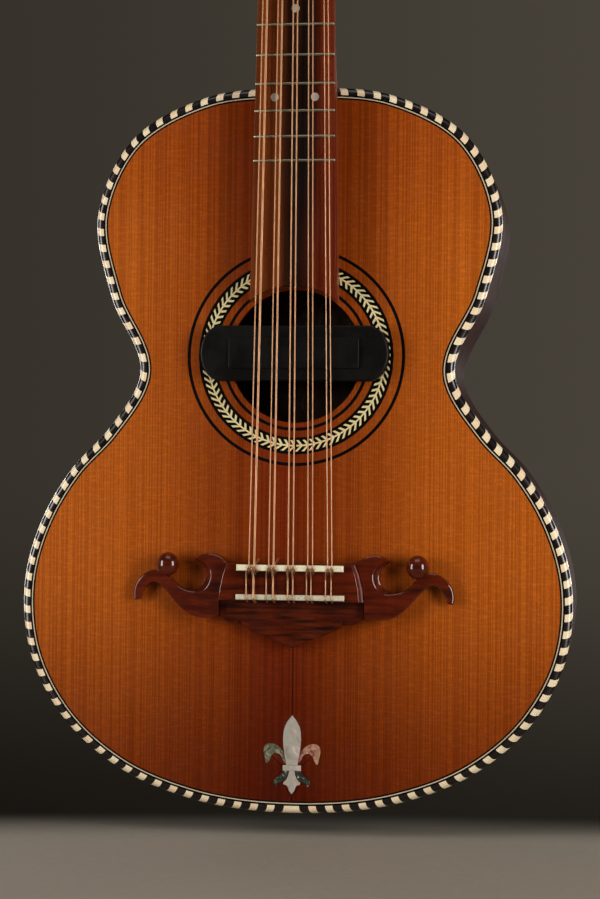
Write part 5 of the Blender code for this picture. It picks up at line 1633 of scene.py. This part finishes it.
make_neck()
TONGUE_START = 0.2835
tongue_outline = [Vector((board_half(TONGUE_START), along(TONGUE_START)))] + board_outline()[1:-1]
tongue_outline.append(Vector((-board_half(TONGUE_START), along(TONGUE_START))))
settle(plate("tongue", [tongue_outline], NECK_FRONT, -0.0003, 0.0, 1, neck_cedar), "neck_cedar", "neck")
HEAD_EDGE = [
    [(0.0, -0.0040), (0.0216, -0.0040)],
    [(0.0216, -0.0040), (0.0217, 0.0030), (0.0228, 0.0060), (0.0252, 0.0088), (0.0290, 0.0112),
     (0.0330, 0.0138), (0.0355, 0.0172), (0.0364, 0.0215), (0.0360, 0.0600), (0.0370, 0.1100),
     (0.0390, 0.1430), (0.0391, 0.1500), (0.0370, 0.1552), (0.0325, 0.1575)],
    [(0.0325, 0.1575), (0.0240, 0.1563), (0.0160, 0.1583), (0.0080, 0.1640), (0.0, 0.1680)],
]
HEAD_THICKNESS = 0.0150


def make_head():
    """The head as a plate in its own upright frame, rounded on its front face, then tilted into place."""
    outline = joined_runs(HEAD_EDGE, 3, lambda points: [Vector(point) for point in points])
    made = plate("head", [outline], 0.0, HEAD_THICKNESS, 0.0012, 4, neck_cedar)
    made.data.transform(head_frame)
    return settle(made, "neck_cedar", "neck")


make_head()
print("head", round(HEAD_THICKNESS * 1000), "mm thick, tilted", HEAD_TILT, "degrees")

# %% [markdown]
# ## The tuning machines
# Ten worm gears turn the posts. Turning a knob turns its worm, and fourteen of the worm's turns make one
# of the post's. The post with its wheel rides on one moving body, and the knob with its shaft and worm on
# another, so each is made in the head's own frame and then put in place. The knobs are ivory-like plastic.

# %% Posts, wheels, shafts and knobs
GEAR_TEETH, GEAR_MODULE, GEAR_FACE = 14, 0.0010, 0.0030
GEAR_RADIUS = GEAR_TEETH * GEAR_MODULE / 2
GEAR_PLANE, WORM_UP = 0.0210, 0.0100
WORM_TIP, SHAFT_RADIUS, SHAFT_TAIL = 0.0039, 0.0015, 0.0095
KNOB_NEAR, KNOB_FAR = 0.0430, 0.0610
KNOB_STATIONS = [
    (0.0, 0.0016, 0.0016), (0.02, 0.0026, 0.0026), (0.08, 0.0030, 0.0032), (0.16, 0.0036, 0.0049),
    (0.28, 0.0041, 0.0070), (0.45, 0.0045, 0.0087), (0.62, 0.0044, 0.0088), (0.78, 0.0041, 0.0081),
    (0.90, 0.0036, 0.0069), (0.97, 0.0029, 0.0055), (1.0, 0.0018, 0.0036),
]


def turned_rings(profile, sides):
    """Rings about local Y from (radius, place) pairs."""
    angles = [2 * pi * i / sides for i in range(sides)]
    return [[Vector((radius * cos(a), y, radius * sin(a))) for a in angles] for radius, y in profile]


def post_shape():
    shape = bmesh.new()
    profile = [
        (0.0016, -0.0150), (0.0024, -0.0149), (0.0030, -0.0143), (0.0031, -0.0135), (0.0031, -0.0108),
        (0.0034, -0.0102), (0.0038, -0.0097), (0.0027, -0.0090), (0.0026, -0.0050), (0.0038, -0.0043),
        (0.0036, -0.0038), (0.0030, -0.0034), (0.0030, GEAR_PLANE + GEAR_FACE / 2 + 0.0012),
    ]
    add_rings(shape, turned_rings(profile, 24))
    return shape


def wheel_shape():
    """The toothed wheel, with its teeth half a step round so that a gap faces the worm."""
    shape = bmesh.new()
    step = 2 * pi / GEAR_TEETH
    half_tooth = 0.34 * step / 2
    root, tip = GEAR_RADIUS - 1.2 * GEAR_MODULE, GEAR_RADIUS + 0.9 * GEAR_MODULE
    outline = []
    for i in range(GEAR_TEETH):
        for radius, reach in ((root, -1.5), (tip, -0.62), (tip + 0.00004, 0.0), (tip, 0.62), (root, 1.5)):
            a = step * (i + 0.5) + reach * half_tooth
            outline.append((radius * sin(a), radius * cos(a)))
    rings = []
    for depth in (GEAR_PLANE - GEAR_FACE / 2, GEAR_PLANE + GEAR_FACE / 2):
        rings.append([Vector((x, depth, z)) for x, z in outline])
    add_rings(shape, rings)
    return shape


def shaft_shape():
    """The shaft and its right-hand worm, along local X."""
    shape = bmesh.new()
    knob = KNOB_NEAR - POST_ACROSS
    angles = [2 * pi * i / 20 for i in range(20)]
    stations = [(-SHAFT_TAIL, 0.0011), (-SHAFT_TAIL + 0.0004, 0.0015), (knob - 0.0022, 0.0015),
                (knob - 0.0018, 0.0024), (knob - 0.0002, 0.0024), (knob + 0.0002, 0.0016)]
    add_rings(shape, [[Vector((x, r * cos(a), r * sin(a))) for a in angles] for x, r in stations])
    pitch = pi * GEAR_MODULE
    half = 0.34 * pitch / 2
    root = SHAFT_RADIUS - GAP
    section = [(root, -half * 1.6), (WORM_TIP, -half * 0.5), (WORM_TIP, half * 0.5), (root, half * 1.6)]
    rings = []
    for i in range(2 * 20 + 1):
        turns = i / 20 - 1
        a = 2 * pi * turns - pi / 2
        rings.append([Vector((pitch * turns + shift, r * cos(a), r * sin(a))) for r, shift in section])
    add_rings(shape, rings)
    return shape


def knob_shape():
    shape = bmesh.new()
    knob = KNOB_NEAR - POST_ACROSS
    angles = [2 * pi * i / 24 for i in range(24)]
    rings = []
    for share, thick, tall in KNOB_STATIONS:
        x = knob + (KNOB_FAR - KNOB_NEAR) * share
        rings.append([Vector((x, thick * cos(a), tall * sin(a))) for a in angles])
    add_rings(shape, rings)
    return shape


def winding_shape(radius, side):
    """A string's turns round its post, stacked down from the middle."""
    shape = bmesh.new()
    turns, steps = 3, 20
    drop = 2.05 * radius
    route = []
    for i in range(turns * steps + 1):
        a = 2 * pi * i / steps * side
        reach = 0.0030 + radius
        route.append((reach * cos(a), WINDING_MIDDLE + (i / steps - turns / 2) * drop, reach * sin(a)))
    add_wire(shape, route, radius, 8)
    return shape


for side, row in ((-1, "left"), (1, "right")):
    for place in range(POSTS_A_SIDE):
        number = place + 1
        up = POST_FIRST_UP + POST_STEP * place
        at_post = head_frame @ Matrix.Translation((side * POST_ACROSS, 0.0, up))
        at_worm = head_frame @ Matrix.Translation((side * POST_ACROSS, GEAR_PLANE, up + WORM_UP))
        if side < 0:
            at_worm = at_worm @ Matrix.Rotation(pi, 4, "Z")
        string = place if side < 0 else 2 * POSTS_A_SIDE - 1 - place
        radius = STRING_DIAMETERS[string] / 2
        winding_finish = wire_finish(radius)
        post_node, button_node = f"tuner_post_{row}_{number}", f"tuner_button_{row}_{number}"
        for label, shape, matrix, finish, slot, node, body in (
            ("post", post_shape(), at_post, nickel, "nickel", post_node, "post"),
            ("wheel", wheel_shape(), at_post, brass, "nickel", post_node, "post"),
            ("winding", winding_shape(radius, side), at_post, winding_finish, "bronze", post_node, "post"),
            ("shaft", shaft_shape(), at_worm, nickel, "nickel", button_node, "button"),
            ("knob", knob_shape(), at_worm, ivoroid, "ivoroid", button_node, "button"),
        ):
            shape.transform(matrix)
            made = add_object(f"{label}_{row}_{number}", shape, finish)
            settle(made, slot, node, body=f"{body}_{row}_{number}")
print(2 * POSTS_A_SIDE, "tuning machines")

# %% [markdown]
# ## Ferrules and screws
# A nickel ferrule rings each post on the face of the head, and small round-headed screws hold the two back
# plates. On the real head each post turns in a bore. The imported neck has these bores, but the plate drawn
# here for the head does not, so inside the wood the posts run straight through it. Ferrules and screws are
# each one shape set down at many places, so a tree puts an instance on every point of a small list.

# %% Ferrules and plate screws
def spread_tree():
    tree, given = new_tree("one shape at many places", [("Shape", "Object"), ("Metal", "Material")])
    shape_info = put(tree, "GeometryNodeObjectInfo", {"Object": given["Shape"]})
    inputs = {"Points": given["Geometry"], "Instance": live(shape_info.outputs, "Geometry")}
    finish_tree(tree, put(tree, "GeometryNodeInstanceOnPoints", inputs).outputs[0], given["Metal"])
    return tree


def spread(name, tree, template, places, finish):
    """Sets a shape down at each place, in the head's frame, then tilts the whole into the head."""
    host = new_object(name, bpy.data.meshes.new(name))
    host.data.from_pydata(places, [], [])
    run_tree(host, tree, {"Shape": template, "Metal": finish})
    host.data.transform(head_frame)
    remove(template)
    return turn_outwards(host)


shape = bmesh.new()
ferrule_profile = [(0.0033, 0.0010), (0.0046, 0.0010), (0.0046, -0.0003), (0.0042, -0.0006),
                   (0.0035, -0.0006), (0.0033, -0.0004)]
rings = turned_rings(ferrule_profile, 24)
add_rings(shape, rings + rings[:1], closed_ends=False)
bmesh.ops.remove_doubles(shape, verts=shape.verts[:], dist=0.000001)
post_places = []
for side in (-1, 1):
    post_places += [(side * POST_ACROSS, 0.0, POST_FIRST_UP + POST_STEP * i) for i in range(POSTS_A_SIDE)]
spreading = spread_tree()
ferrules = spread("ferrules", spreading, add_object("ferrule", shape), post_places, nickel)
settle(ferrules, "nickel")

shape = bmesh.new()
PLATE_BACK = HEAD_THICKNESS + 0.0015
SCREWS_ACROSS, SCREW_BELOW_POST = (0.0158, 0.0312), 0.0088
screw_profile = [(0.0021, 0.0), (0.0020, 0.0005), (0.0014, 0.0009), (0.0005, 0.0011)]
add_rings(shape, turned_rings(screw_profile, 16))
screw_places = []
for side in (-1, 1):
    for i in range(POSTS_A_SIDE + 1):
        up = POST_FIRST_UP - SCREW_BELOW_POST + POST_STEP * i
        screw_places += [(side * across, PLATE_BACK, up) for across in SCREWS_ACROSS]
screws = spread("plate_screws", spreading, add_object("screw", shape), screw_places, nickel)
settle(screws, "nickel")
print(len(post_places), "ferrules and", len(screw_places), "screws")

# %% The end
remove(whole_edge)
